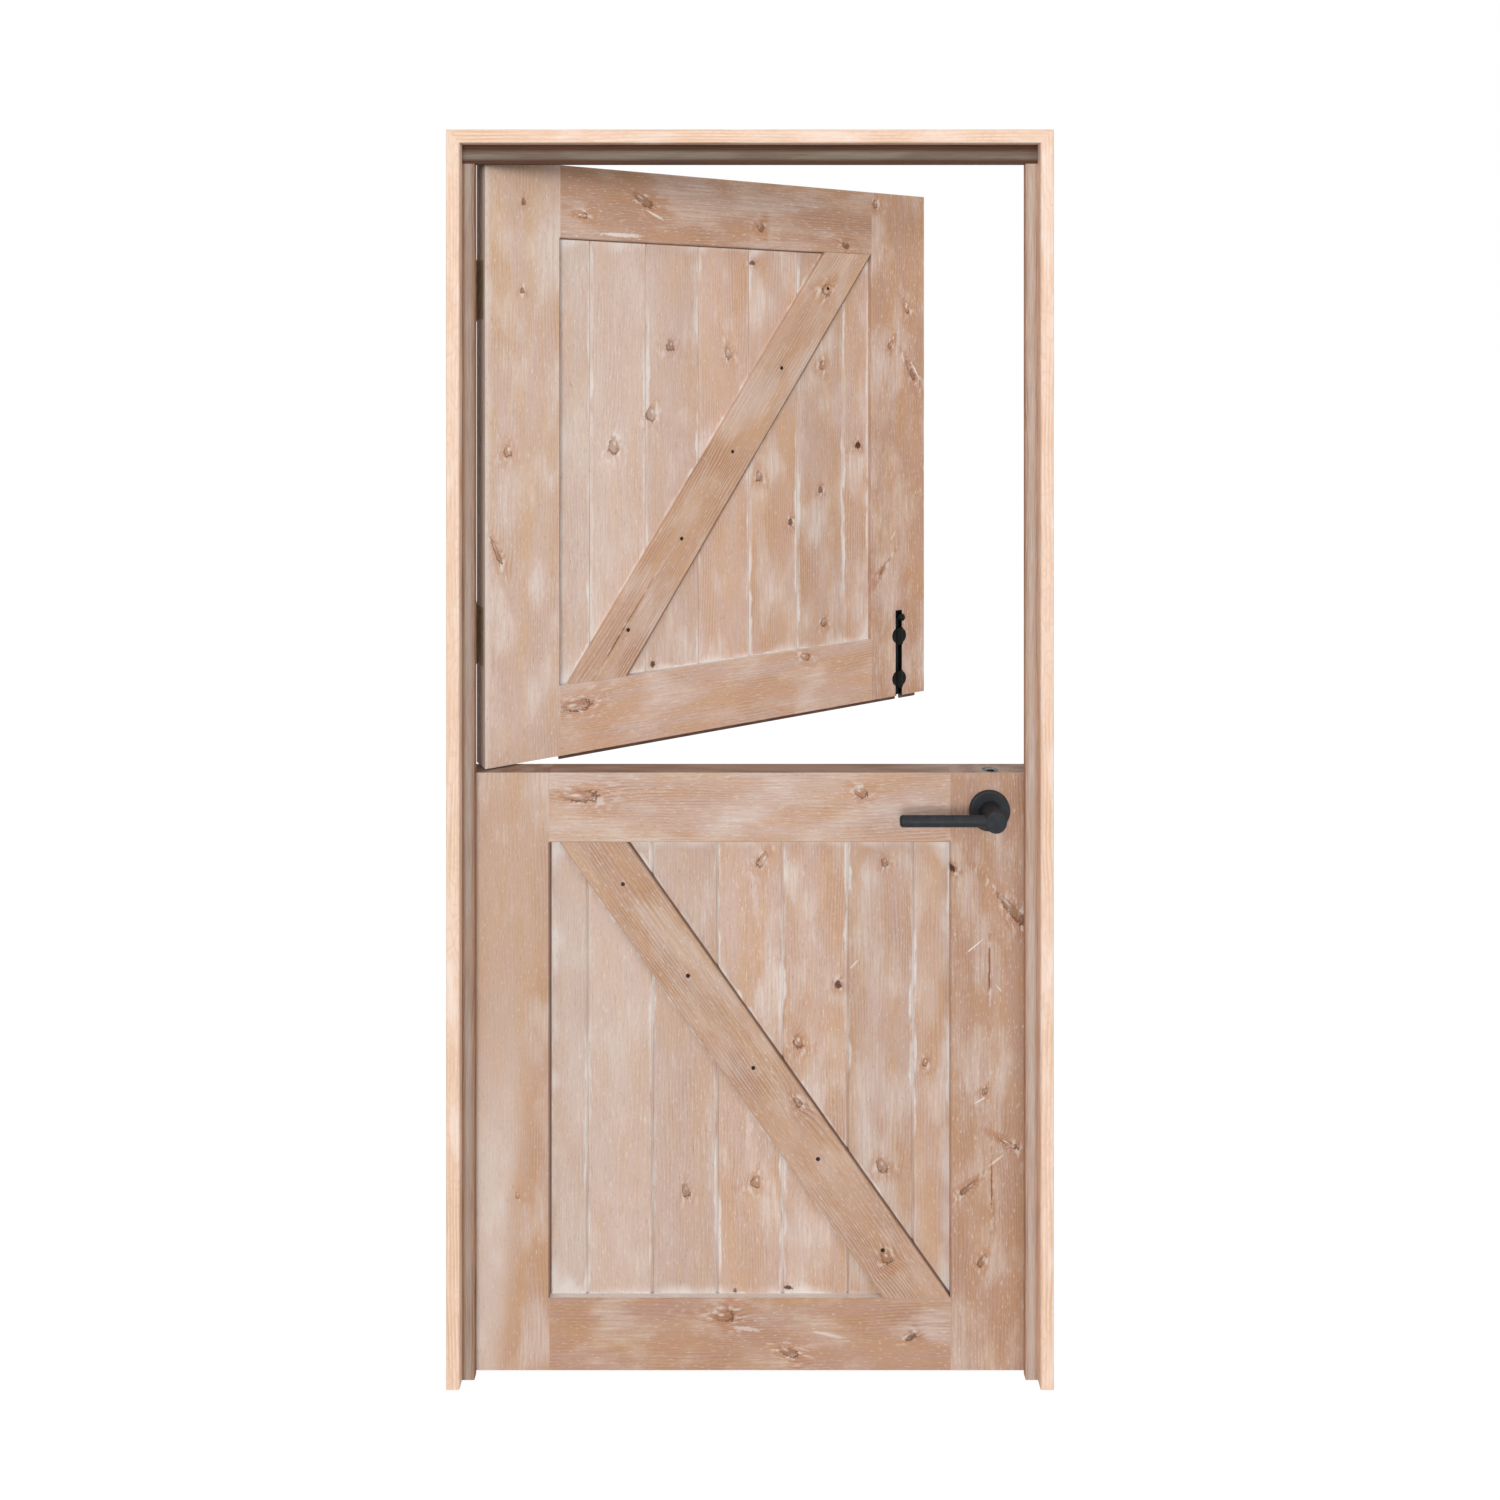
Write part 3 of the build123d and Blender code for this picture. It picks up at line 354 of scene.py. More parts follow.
        speck = add(tree, "MapRange", (speck, *speck_ramp), **eased)[0]
        fine = streak if boards else speck
        uneven = add(tree, "Math", (smear, smear_share, plain_share), **scaled_sum)[0]
        uneven = add(tree, "Math", (fine, fine_share, uneven), **scaled_sum)[0]
        washed = add(tree, "Math", (cover_share, uneven), operation="MULTIPLY")[0]
        lime = add(tree, "Math", (lime, washed), operation="MAXIMUM")[0]
    colour = add(tree, "Mix", {0: lime, 6: colour, 7: linear("#e1d3ca")}, **colours)[2]

    # Lime left behind: flecks in the open grain, swirls beside knots, scratches and joints. Faces that look
    # up are painted chalk white too, partly lime settled on ledges and partly painted light.
    grit_size, grit_ramp = (1.6, 1.6, 11), (0.6, 0.72, 0.0, 0.45)
    swirl_size, swirl_ramp, ledge_ramp = (9, 9, 20), (0.5, 0.64, 0.0, 0.6), (0.8, 0.95, 0.0, 0.85)
    grit = add(tree, "Group", {"Place": place, "Size": grit_size, "Detail": 2.0}, node_tree=blotches)[0]
    caught = add(tree, "MapRange", (grit, *grit_ramp), **eased)[0]
    swirl = add(tree, "Group", {"Place": place, "Size": swirl_size, "Detail": 3.0}, node_tree=blotches)[0]
    swirl = add(tree, "MapRange", (swirl, *swirl_ramp), **eased)[0]
    swirl = add(tree, "Math", (swirl, masks["Stain"]), operation="MULTIPLY")[0]
    caught = add(tree, "Math", (caught, swirl), operation="MAXIMUM")[0]
    normal = add(tree, "NewGeometry")["Normal"]
    upwards = add(tree, "SeparateXYZ", (normal,))[2]
    # Faces that look up turn chalk white: partly lime on the ledges, partly painted light.
    ledge = add(tree, "MapRange", (upwards, *ledge_ramp), **eased)[0]
    caught = add(tree, "Math", (caught, ledge), operation="MAXIMUM")[0]
    for *placing, whiteness in scratches:
        scratch = add(tree, "Math", (mark(*placing)["Heart"], whiteness), operation="MULTIPLY")[0]
        caught = add(tree, "Math", (caught, scratch), operation="MAXIMUM")[0]
    if boards:
        held_size, held_ramp = (40, 40, 210), (0.38, 0.6, 0.12, 1.0)
        lump_size, lump_level = (13, 13, 50), 0.43
        held = add(tree, "Group", {"Place": place, "Size": held_size, "Detail": 2.0}, node_tree=blotches)[0]
        held = add(tree, "MapRange", (held, *held_ramp), **eased)[0]
        lumps = add(tree, "Group", {"Place": place, "Size": lump_size, "Detail": 4.0}, node_tree=blotches)[0]
        joint = add(tree, "Math", (from_first, cover / 2), operation="PINGPONG")[0]
        left = add(tree, "Math", (across_leaf, low_u), operation="SUBTRACT")[0]
        right = add(tree, "Math", (high_u, across_leaf), operation="SUBTRACT")[0]
        below = add(tree, "Math", (up_leaf, low_v), operation="SUBTRACT")[0]
        above = add(tree, "Math", (high_v, up_leaf), operation="SUBTRACT")[0]
        middle = ((low_u + high_u + brace_gap) / 2, 0.0, (low_v + high_v) / 2)
        off_middle = add(tree, "VectorMath", (on_leaf, middle), operation="SUBTRACT")[0]
        square_to_brace = (math.cos(brace_lean), 0.0, math.sin(brace_lean))
        off_brace = add(tree, "VectorMath", (off_middle, square_to_brace), operation="DOT_PRODUCT")["Value"]
        half_brace = brace_on_rail * math.cos(brace_lean) / 2
        beside = add(tree, "Math", (off_brace, half_brace), operation="SUBTRACT")[0]
        off_brace = add(tree, "Math", (off_brace,), operation="ABSOLUTE")[0]
        off_brace = add(tree, "Math", (off_brace, half_brace), operation="SUBTRACT")[0]
        at_back = add(tree, "Math", (through_leaf, leaf_mid_depth), operation="GREATER_THAN")[0]
        beside = add(tree, "Math", (at_back, leaf_height, beside), **scaled_sum)[0]
        off_brace = add(tree, "Math", (at_back, leaf_height, off_brace), **scaled_sum)[0]
        for distance, reach, softness, share in (
                (joint, 22.0, 4.5, 0.85), (below, 10.0, 2.5, 0.95), (left, 20.0, 4.0, 0.7),
                (right, 22.0, 5.0, 0.95), (off_brace, 18.0, 5.0, 0.85)):
            start = -reach * lump_level
            edge = add(tree, "Math", (lumps, -reach, distance), **scaled_sum)[0]
            kept = add(tree, "MapRange", (edge, start, start + softness, share, 0.0), **eased)[0]
            kept = add(tree, "Math", (kept, held), operation="MULTIPLY")[0]
            caught = add(tree, "Math", (caught, kept), operation="MAXIMUM")[0]
        corner_size, pool_reach = 100.0, -60.0
        pool_size, pool_ramp = (60, 60, 70), (-46.0, -14.0, 0.9, 0.0)
        sides = add(tree, "Math", (left, right), operation="MINIMUM")[0]
        ends = add(tree, "Math", (below, above), operation="MINIMUM")[0]
        corner = add(tree, "Math", (sides, ends, corner_size), operation="SMOOTH_MIN")[0]
        pool = add(tree, "Group", {"Place": place, "Size": pool_size, "Detail": 4.0}, node_tree=blotches)[0]
        pool = add(tree, "Math", (pool, pool_reach, corner), **scaled_sum)[0]
        pool = add(tree, "MapRange", (pool, *pool_ramp), **eased)[0]
        caught = add(tree, "Math", (caught, pool), operation="MAXIMUM")[0]
    colour = add(tree, "Mix", {0: caught, 6: colour, 7: linear("#e9e2dd")}, **colours)[2]

    # Knots over the lime, the dark heart last, then pores and the fibres' own light and dark.
    # The knot's painted highlight is laid on here as a pale colour, over its heart and under its rim.
    for key, share, shade in (("Heart", 0.38, "#b57c55"), ("Painted highlight", 0.85, "#ecdccd"),
                              ("Rim", 0.85, "#704831")):
        amount = add(tree, "Math", (masks[key], share), operation="MULTIPLY")[0]
        colour = add(tree, "Mix", {0: amount, 6: colour, 7: linear(shade)}, **colours)[2]
    colour = add(tree, "Mix", {0: dark_heart, 6: colour, 7: linear("#472c20")}, **colours)[2]
    pore_ramp, board_ramp = (0.28, 0.38, 0.35, 0.0), (0.0, 1.0, 0.95, 1.05)
    # Painted light: each leaf's gain scales its colours here; the upper leaf is made paler.
    fibre_ramp = (0.3, 0.7, 0.94 * painted_light, 1.04 * painted_light)
    pore = add(tree, "MapRange", (grit, *pore_ramp), **eased)[0]
    colour = add(tree, "Mix", {0: pore, 6: colour, 7: linear("#96705a")}, **colours)[2]
    tone = add(tree, "MapRange", (fibre, *fibre_ramp), **eased)[0]
    if boards:
        own = add(tree, "TexWhiteNoise", {"W": which}, noise_dimensions="1D")[0]
        own = add(tree, "MapRange", (own, *board_ramp))[0]
        tone = add(tree, "Math", (tone, own), operation="MULTIPLY")[0]
    tone = add(tree, "CombineColor", (tone, tone, tone))[0]
    colour = add(tree, "Mix", {0: 1.0, 6: colour, 7: tone}, blend_type="MULTIPLY", **colours)[2]

    # The white of the lime is never brighter than chalk.
    colour = add(tree, "Mix", {0: 1.0, 6: colour, 7: linear("#e6deda")}, blend_type="DARKEN", **colours)[2]

    # Painted shade: faces turned sideways in the leaf, thin lines on the boards along the hinge stile, under
    # the top rail and beside the brace, and a line along the upper brace's edge are painted dark brown.
    flank_ramp = (0.3, 0.6, 0.0, 0.08) if boards else (0.5, 0.75, 0.0, 0.6)
    shade_line_fade, shade_line_share, edge_ramp = 1.5, 0.85, (1.5, 4.0, 0.85, 0.0)
    facing = add(tree, "Mapping", {"Vector": normal, "Rotation": (0.0, 0.0, turn)}, vector_type="VECTOR")[0]
    sideways = add(tree, "SeparateXYZ", (facing,))[0]
    if boards:
        sideways = add(tree, "Math", (sideways,), operation="ABSOLUTE")[0]
    painted_shade = add(tree, "MapRange", (sideways, *flank_ramp), **eased)[0]
    for distance, reach in ((left, 0.8), (above, 1.2), (beside, 0.8)) if boards else ():
        inside = add(tree, "Math", (distance, -reach), operation="GREATER_THAN")[0]
        shade_line = add(tree, "MapRange", (distance, reach, reach + shade_line_fade, shade_line_share, 0.0), **eased)[0]
        shade_line = add(tree, "Math", (shade_line, inside), operation="MULTIPLY")[0]
        painted_shade = add(tree, "Math", (painted_shade, shade_line), operation="MAXIMUM")[0]
    if shaded_edge:
        across_grain = add(tree, "SeparateXYZ", (face,))[0]
        inwards = add(tree, "Math", (shaded_edge, across_grain), operation="SUBTRACT")[0]
        shade_line = add(tree, "MapRange", (inwards, *edge_ramp), **eased)[0]
        painted_shade = add(tree, "Math", (painted_shade, shade_line), operation="MAXIMUM")[0]
    # The painted shade is laid on here in dark brown.
    colour = add(tree, "Mix", {0: painted_shade, 6: colour, 7: linear("#5f3b2a")}, **colours)[2]

    # Painted shade: up-facing faces along the top of the leaf are painted brown for the shade on them.
    crest_ramp = (leaf_height - 2.0, leaf_height - 0.5, 0.0, 1.2)
    ring_height, rim_height, chalk_ramp = 0.5, -0.8, (0.0, 1.0, 0.66, 0.85)
    crest = add(tree, "MapRange", (up_leaf, *crest_ramp))[0]
    shaded_top = add(tree, "Math", (crest, ledge), operation="MULTIPLY")[0]
    brown = add(tree, "Mix", {0: band, 6: linear("#8d7160"), 7: linear("#a88f80")}, **colours)[2]
    colour = add(tree, "Mix", {0: shaded_top, 6: colour, 7: brown}, **colours)[2]
    height = add(tree, "Math", (rings, ring_height, fibre), **scaled_sum)[0]
    height = add(tree, "Math", (masks["Rim"], rim_height, height), **scaled_sum)[0]
    bump = add(tree, "Bump", {"Height": height, "Strength": 0.4, "Distance": 0.0005})[0]
    chalky = add(tree, "MapRange", (lime, *chalk_ramp), **eased)[0]
    surface = add(tree, "BsdfPrincipled", {"Base Color": colour, "Roughness": chalky,
                                           "Specular IOR Level": 0.3, "Normal": bump})[0]
    add(tree, "OutputMaterial", (surface,))
    return material


# In millimetres: the hinge axis, the hinge edge, the feet and the depth of the leaves' middle are places
# in the door's own frame. The rest is measured from a leaf's hinge edge and foot, as if it were shut.
open_angle = math.radians(31)
hinge_axis = Vector((-472.5, 65.0, 0.0))
hinge_edge_x, lower_foot, upper_foot = -471.0, 4.0, 1008.5
lower_height, upper_height = 1001.5, 1027.5
# Painted light: the upper leaf is made paler, for the light its turned face misses.
lower_painted_light, upper_painted_light = 1.0, 1.09
back_turn = Matrix.Rotation(-open_angle, 3, "Z")
lower_shift = Vector((-hinge_edge_x, 0.0, -lower_foot))
upper_shift = hinge_axis - back_turn @ hinge_axis + Vector((-hinge_edge_x, 0.0, -upper_foot))
lower_leaf = (0.0, lower_shift, lower_height, lower_painted_light)
upper_leaf = (-open_angle, upper_shift, upper_height, upper_painted_light)
leaf_mid_depth = 37.25
panel_left, panel_right = 135.0, 807.0
lower_panel_foot, lower_panel_top = 120.0, 884.5
upper_panel_foot, upper_panel_top = 122.0, 901.5
board_first, board_cover = 197.0, 109.6
brace_gap, brace_on_rail = 16.5, 113.0
brace_run = panel_right - panel_left - brace_gap - brace_on_rail
lower_lean = math.atan2(brace_run, lower_panel_top - lower_panel_foot)
upper_lean = -math.atan2(brace_run, upper_panel_top - upper_panel_foot)
board_row = (board_first, board_cover, panel_left, panel_right)
lower_boards = board_row + (lower_panel_foot, lower_panel_top, lower_lean)
upper_boards = board_row + (upper_panel_foot, upper_panel_top, upper_lean)
board_wash = (260, 620, 0, 120, 0.55, 900)
upper_brace_edge = ((panel_left + panel_right + brace_gap + brace_on_rail) * math.cos(upper_lean)
                    + (upper_panel_foot + upper_panel_top) * math.sin(upper_lean)) / 2
pink_shades = ("#c9aa9a", "#c9a386", "#ac826a")
deep_shades = ("#bb9682", "#bd9474", "#9a6f56")
brace_shades = ("#c3a18c", "#c49c7c", "#966a50")
brace_contrast, boards_in_leaf = 0.75, 7

# Lower leaf.
dress(["lower_hinge_stile"], limed_pine(
    "lower_hinge_stile", lower_leaf, upright, (3, 9, 40), ("#c4a28d", "#c49c7c", "#ac826a"), 0.6,
    [(81, 294, 3, 2, 0, 0)], wash=(36, 96, 0.1, 45, 0.8, 330)))
dress(["lower_lock_stile"], limed_pine(
    "lower_lock_stile", lower_leaf, upright, (83, 31, 640), deep_shades, 0.55,
    [(905, 778, 7, 5.5, -41, 0.35), (865, 468, 4.5, 1.6, 30, 0.4), (902, 381, 4, 5, -60, 0.15),
     (838, 307, 4, 5, 48, 0.35), (861, 185, 5, 2.6, 30, 0.3), (872, 676, 1.1, 36, 0, 0.75),
     (876, 319, 1.1, 32, 0, 0.7), (810, 842, 4.5, 1.6, -20, 1)],
    scratches=[(848, 711, 1.6, 12, 50, 0.8), (888, 640, 1.4, 7, -40, 0.6),
               (856, 452, 2, 6, 60, 0.7), (884, 352, 2.2, 9, 52, 0.6)]))
dress(["lower_top_rail"], limed_pine(
    "lower_top_rail", lower_leaf, level, (29, 5, 210), pink_shades, 0.7,
    [(184, 962, 9, 3.2, 0, 0.15), (655, 969, 7, 1.8, 30, 0.2)]))
dress(["lower_bottom_rail"], limed_pine(
    "lower_bottom_rail", lower_leaf, level, (47, 14, 870), deep_shades, 0.55,
    [(426, 91, 9, 1.8, 0, 0.2), (533, 32, 7, 2.6, 25, 0.3), (739, 54, 4.5, 2.2, -25, 0.7)],
    scratches=[(462, 70, 4, 7, 8, 0.5), (600, 60, 3, 9, 12, 0.5)]))
dress(["lower_board_%d" % (i + 1) for i in range(boards_in_leaf)], limed_pine(
    "lower_boards", lower_leaf, upright, (61, 22, 330), pink_shades, 0.75,
    [(620, 641, 5.5, 1.3, 0, 0.9), (552, 545, 8, 1.5, -10, 0.15), (698, 847, 5.5, 1.3, -20, 0.3),
     (493, 852, 6, 2.5, 35, 0.1), (766, 510, 4, 1.8, 10, 0.1), (481, 309, 7, 1.6, 15, 0.2),
     (693, 336, 8, 1.6, -20, 0.25), (535, 130, 7, 0.5, 0, 0.9), (363, 294, 6, 2, -12, 0.25),
     (446, 125, 2.5, 1.5, 0, 0.7)],
    scratches=[(647, 675, 1.4, 10, 43, 0.7)], wash=board_wash, boards=lower_boards))
dress(["lower_brace"], limed_pine(
    "lower_brace", lower_leaf, lower_lean, (13, 6, 530), brace_shades, 0.45,
    [(551, 449, 5, 2, 0, 0.3), (699, 189, 8, 1.4, 0, 0.2), (402, 705, 1.2, 80, 0, 0.6)],
    contrast=brace_contrast))

# Upper leaf, painted paler than the lower one as painted light, for the weaker light on its turned face.
dress(["upper_hinge_stile"], limed_pine(
    "upper_hinge_stile", upper_leaf, upright, (19, 27, 140), ("#ccb0a1", "#cbaa8e", "#b08970"), 0.75,
    [(68, 960, 3.5, 1.8, 0, 0.6), (66, 808, 3.5, 1.6, 0, 0.6), (40, 535, 7, 1.5, 0, 0.05),
     (18, 368, 3.5, 7, -22, 0.3)], wash=(8, 22, 0, 16, 0.8, 1100)))
dress(["upper_lock_stile"], limed_pine(
    "upper_lock_stile", upper_leaf, upright, (91, 13, 760), deep_shades, 0.6,
    [(856, 721, 5, 2, 30, 0.3), (904, 670, 5, 5, -30, 0.4), (895, 796, 4, 3, -30, 0),
     (841, 269, 3, 7, 40, 0.2), (816, 1006, 6, 1.6, 0, 0.2)],
    scratches=[(918, 668, 2, 12, -32, 0.8), (862, 330, 1.5, 9, 35, 0.6)]))
dress(["upper_top_rail"], limed_pine(
    "upper_top_rail", upper_leaf, level, (33, 7, 610), ("#b8937d", "#ba9072", "#95694f"), 0.55,
    [(292, 979, 7, 3.2, 31, 0.3), (174, 943, 5, 2.2, 0, 0.05), (542, 941, 7, 1.2, 0, 0.5),
     (741, 917, 6, 1.5, 20, 0.7)],
    scratches=[(318, 952, 2.5, 9, 24, 0.7), (250, 912, 4, 11, 0, 0.7)]))
dress(["upper_bottom_rail"], limed_pine(
    "upper_bottom_rail", upper_leaf, level, (43, 3, 960), pink_shades, 0.7,
    [(162, 83, 9, 3.2, 0, 0.15), (644, 109, 6, 2, 20, 0.1)]))
dress(["upper_board_%d" % (i + 1) for i in range(boards_in_leaf)], limed_pine(
    "upper_boards", upper_leaf, upright, (7, 12, 920), pink_shades, 0.75,
    [(533, 875, 6, 0.7, 0, 0.8), (356, 716, 8, 1.3, 0, 0.3), (478, 703, 6, 2.2, -15, 0.25),
     (317, 592, 9, 1.6, 8, 0.15), (242, 536, 9, 1.7, 0, 0.15), (695, 680, 6, 1.8, 20, 0.15),
     (782, 517, 6.5, 1.2, 0, 1), (690, 432, 4.5, 1.6, 0, 0.7), (619, 373, 5, 1.5, 0, 0.8),
     (698, 169, 6, 1.5, 0, 0.35), (320, 134, 4.5, 1.4, 0, 0.9), (547, 467, 7, 1.6, 0, 0.3)],
    wash=board_wash, boards=upper_boards))
# The upper brace also gets a painted shade line along its edge.
dress(["upper_brace"], limed_pine(
    "upper_brace", upper_leaf, upper_lean, (73, 16, 230), brace_shades, 0.45,
    [(699, 829, 9, 1.5, 0, 0.1), (262, 215, 1.2, 50, 0, 0.6)], contrast=brace_contrast,
    shaded_edge=upper_brace_edge))


# Ironmongery
# Hinges, strike plate and lever set: steel with a matt powder coat, screwed on. The cast bolt and its
# keeper are japanned black. The coats are faintly pebbled, so their highlights are broad and soft.

def powder_coat(name, colour, rubbed_colour, rough, gloss):
    """A baked coat with a fine pebbled skin, rubbed a little paler in places.
    The pebbles are drawn about 1 mm across, coarser than they are, so that they show."""
    pebble_size, patch_size = (0.9, 0.9, 0.9), (14, 14, 14)
    rubbed_ramp, smoother = (0.4, 0.7, 0.0, 1.0), 0.06
    material, tree = new_material(name)
    place = add(tree, "Mapping", {"Vector": add(tree, "TexCoord")["Object"], "Scale": millimetres})[0]
    pebble = add(tree, "Group", {"Place": place, "Size": pebble_size, "Detail": 2.0}, node_tree=blotches)[0]
    patch = add(tree, "Group", {"Place": place, "Size": patch_size, "Detail": 4.0}, node_tree=blotches)[0]
    rubbed = add(tree, "MapRange", (patch, *rubbed_ramp), **eased)[0]
    shade = add(tree, "Mix", {0: rubbed, 6: linear(colour), 7: linear(rubbed_colour)}, **colours)[2]
    shine = add(tree, "MapRange", (rubbed, 0.0, 1.0, rough + smoother, rough - smoother), **eased)[0]
    bump = add(tree, "Bump", {"Height": pebble, "Strength": 0.25, "Distance": 0.0002})[0]
    surface = add(tree, "BsdfPrincipled", {"Base Color": shade, "Roughness": shine,
                                           "Specular IOR Level": gloss, "Normal": bump})[0]
    add(tree, "OutputMaterial", (surface,))
    return material


blue_black = powder_coat("blue_black_powder_coat", "#1a1d21", "#262a2f", 0.45, 0.3)
bronze = powder_coat("antique_bronze_powder_coat", "#ab957e", "#bda68d", 0.5, 0.4)
japan = powder_coat("black_japan", "#060a07", "#121813", 0.5, 0.15)
hinge_count = 4
dress(["jamb_hinge_plate_%d" % (i + 1) for i in range(hinge_count)] + ["hinge_pins"], bronze)
for leaf_name in ("upper", "lower"):
    dress([leaf_name + "_hinge_plate_low", leaf_name + "_hinge_plate_high"], bronze)


def fixing_places(node):
    """The middle of the head and the way out for each of a node's screws or nails, in a fixed order.
    The end that spreads wider is the head."""
    weld, end_share = 1e-6, 0.9
    shape = bmesh.new()
    shape.from_mesh(nodes[node].data)
    bmesh.ops.remove_doubles(shape, verts=shape.verts, dist=weld)
    shape.verts.index_update()
    places, met = [], set()
    for start in shape.verts:
        if start.index in met:
            continue
        met.add(start.index)
        waiting, corners = [start], []
        while waiting:
            corner = waiting.pop()
            corners.append(corner.co[:])
            for other in (edge.other_vert(corner) for edge in corner.link_edges):
                if other.index not in met:
                    met.add(other.index)
                    waiting.append(other)
        corners = numpy.array(corners)
        middle = corners.mean(axis=0)
        out = numpy.linalg.svd(corners - middle)[2][0]
        along = (corners - middle) @ out
        spread = numpy.linalg.norm(corners - middle - numpy.outer(along, out), axis=1)
        low_spread = spread[along < end_share * along.min()].max()
        high_spread = spread[along > end_share * along.max()].max()
        if low_spread > high_spread:
            out, along = -out, -along
        places.append((middle + out * along.max(), out))
    shape.free()
    return places


def new_fixing(name, inputs):
    """An empty tree for screws or nails, with named inputs for its sizes and finish."""
    tree = bpy.data.node_groups.new(name, "GeometryNodeTree")
    tree.interface.new_socket("Geometry", in_out="INPUT", socket_type="NodeSocketGeometry")
    for socket, kind in inputs.items():
        tree.interface.new_socket(socket, in_out="INPUT", socket_type="NodeSocket" + kind)
    tree.interface.new_socket("Geometry", in_out="OUTPUT", socket_type="NodeSocketGeometry")
    return tree, tree.nodes.new("NodeGroupInput").outputs, tree.nodes.new("NodeGroupOutput").inputs


def finish_fixing(tree, given, result, head, head_depth, smallest):
    """Puts a shank under the head and sets one at each point, facing out and turned at random.
    Each is between its smallest share of the full width and the full width."""
    shank_length = add(tree, "Math", (given["Length"], head_depth), operation="SUBTRACT")[0]
    shank = add(tree, "GeometryNodeMeshCylinder", {
        "Vertices": 12, "Radius": given["Shank radius"], "Depth": shank_length}, fill_type="NGON")[0]
    drop = add(tree, "Math", (given["Length"], head_depth), operation="ADD")[0]
    half_down = -0.5
    drop = add(tree, "Math", (drop, half_down), operation="MULTIPLY")[0]
    shank = add(tree, "GeometryNodeTransform", {
        "Geometry": shank, "Translation": add(tree, "CombineXYZ", {2: drop})[0]})[0]
    whole = add(tree, "GeometryNodeJoinGeometry", (head,))[0]
    tree.links.new(shank, whole.node.inputs[0])
    facing = add(tree, "GeometryNodeInputNamedAttribute", {"Name": "facing"}, data_type="FLOAT_VECTOR")[0]
    facing = add(tree, "FunctionNodeAlignRotationToVector", {"Vector": facing}, axis="Z")[0]
    angle = add(tree, "FunctionNodeRandomValue", {2: 0.0, 3: 2 * math.pi, "Seed": given["Seed"]})[1]
    spin = add(tree, "FunctionNodeAxisAngleToRotation", {"Axis": (0.0, 0.0, 1.0), "Angle": angle})[0]
    facing = add(tree, "FunctionNodeRotateRotation", {"Rotation": facing, "Rotate By": spin},
                 rotation_space="LOCAL")[0]
    size = add(tree, "FunctionNodeRandomValue", {2: smallest, 3: 1.0, "Seed": given["Seed"]})[1]
    size = add(tree, "CombineXYZ", (size, size, 1.0))[0]
    placed = add(tree, "GeometryNodeInstanceOnPoints", {
        "Points": given["Geometry"], "Instance": whole, "Rotation": facing, "Scale": size})[0]
    placed = add(tree, "GeometryNodeRealizeInstances", (placed,))[0]
    placed = add(tree, "GeometryNodeSetMaterial", {"Geometry": placed, "Material": given["Finish"]})[0]
    tree.links.new(placed, result["Geometry"])
    return tree


def screw_tree():
    """A countersunk screw at each point, with a cross cut in its flat head."""
    cross_reach_share, smallest = 1.3, 1.0
    tree, given, result = new_fixing(
        "countersunk_screws", {"Head radius": "Float", "Head depth": "Float", "Shank radius": "Float",
                               "Length": "Float", "Cross width": "Float", "Seed": "Int",
                               "Finish": "Material"})
    head = add(tree, "GeometryNodeMeshCone", {
        "Vertices": 24, "Radius Top": given["Head radius"], "Radius Bottom": given["Shank radius"],
        "Depth": given["Head depth"]}, fill_type="NGON")[0]
    lowered = add(tree, "Math", (given["Head depth"], -1.0), operation="MULTIPLY")[0]
    head = add(tree, "GeometryNodeTransform", {
        "Geometry": head, "Translation": add(tree, "CombineXYZ", {2: lowered})[0]})[0]
    reach = add(tree, "Math", (given["Head radius"], cross_reach_share), operation="MULTIPLY")[0]
    head = add(tree, "GeometryNodeMeshBoolean", {"Mesh 1": head}, operation="DIFFERENCE")[0]
    for long_way, short_way in ((reach, given["Cross width"]), (given["Cross width"], reach)):
        size = add(tree, "CombineXYZ", (long_way, short_way, given["Head depth"]))[0]
        cutter = add(tree, "GeometryNodeMeshCube", {"Size": size})[0]
        tree.links.new(cutter, head.node.inputs["Mesh 2"])
    return finish_fixing(tree, given, result, head, given["Head depth"], smallest)


def fixings(name, node, tree, sizes, body):
    """Makes one fixing at each place of a node's own, as a plain mesh that stands for the node.
    The sizes are in metres, as the mesh is."""
    places = fixing_places(node)
    points = bpy.data.meshes.new(name + "_points")
    points.from_pydata([place for place, out in places], [], [])
    facing = points.attributes.new("facing", "FLOAT_VECTOR", "POINT")
    for row, (place, out) in zip(facing.data, places):
        row.vector = out
    maker = bpy.data.objects.new(name + "_points", points)
    scene.collection.objects.link(maker)
    modifier = maker.modifiers.new("fixings", "NODES")
    modifier.node_group = tree
    for socket in tree.interface.items_tree:
        if socket.in_out == "INPUT" and socket.name in sizes:
            modifier[socket.identifier] = sizes[socket.name]
    evaluated = maker.evaluated_get(bpy.context.evaluated_depsgraph_get())
    piece = bpy.data.objects.new(name, bpy.data.meshes.new_from_object(evaluated))
    bpy.data.objects.remove(maker)
    scene.collection.objects.link(piece)
    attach(piece, body)
    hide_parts(node)


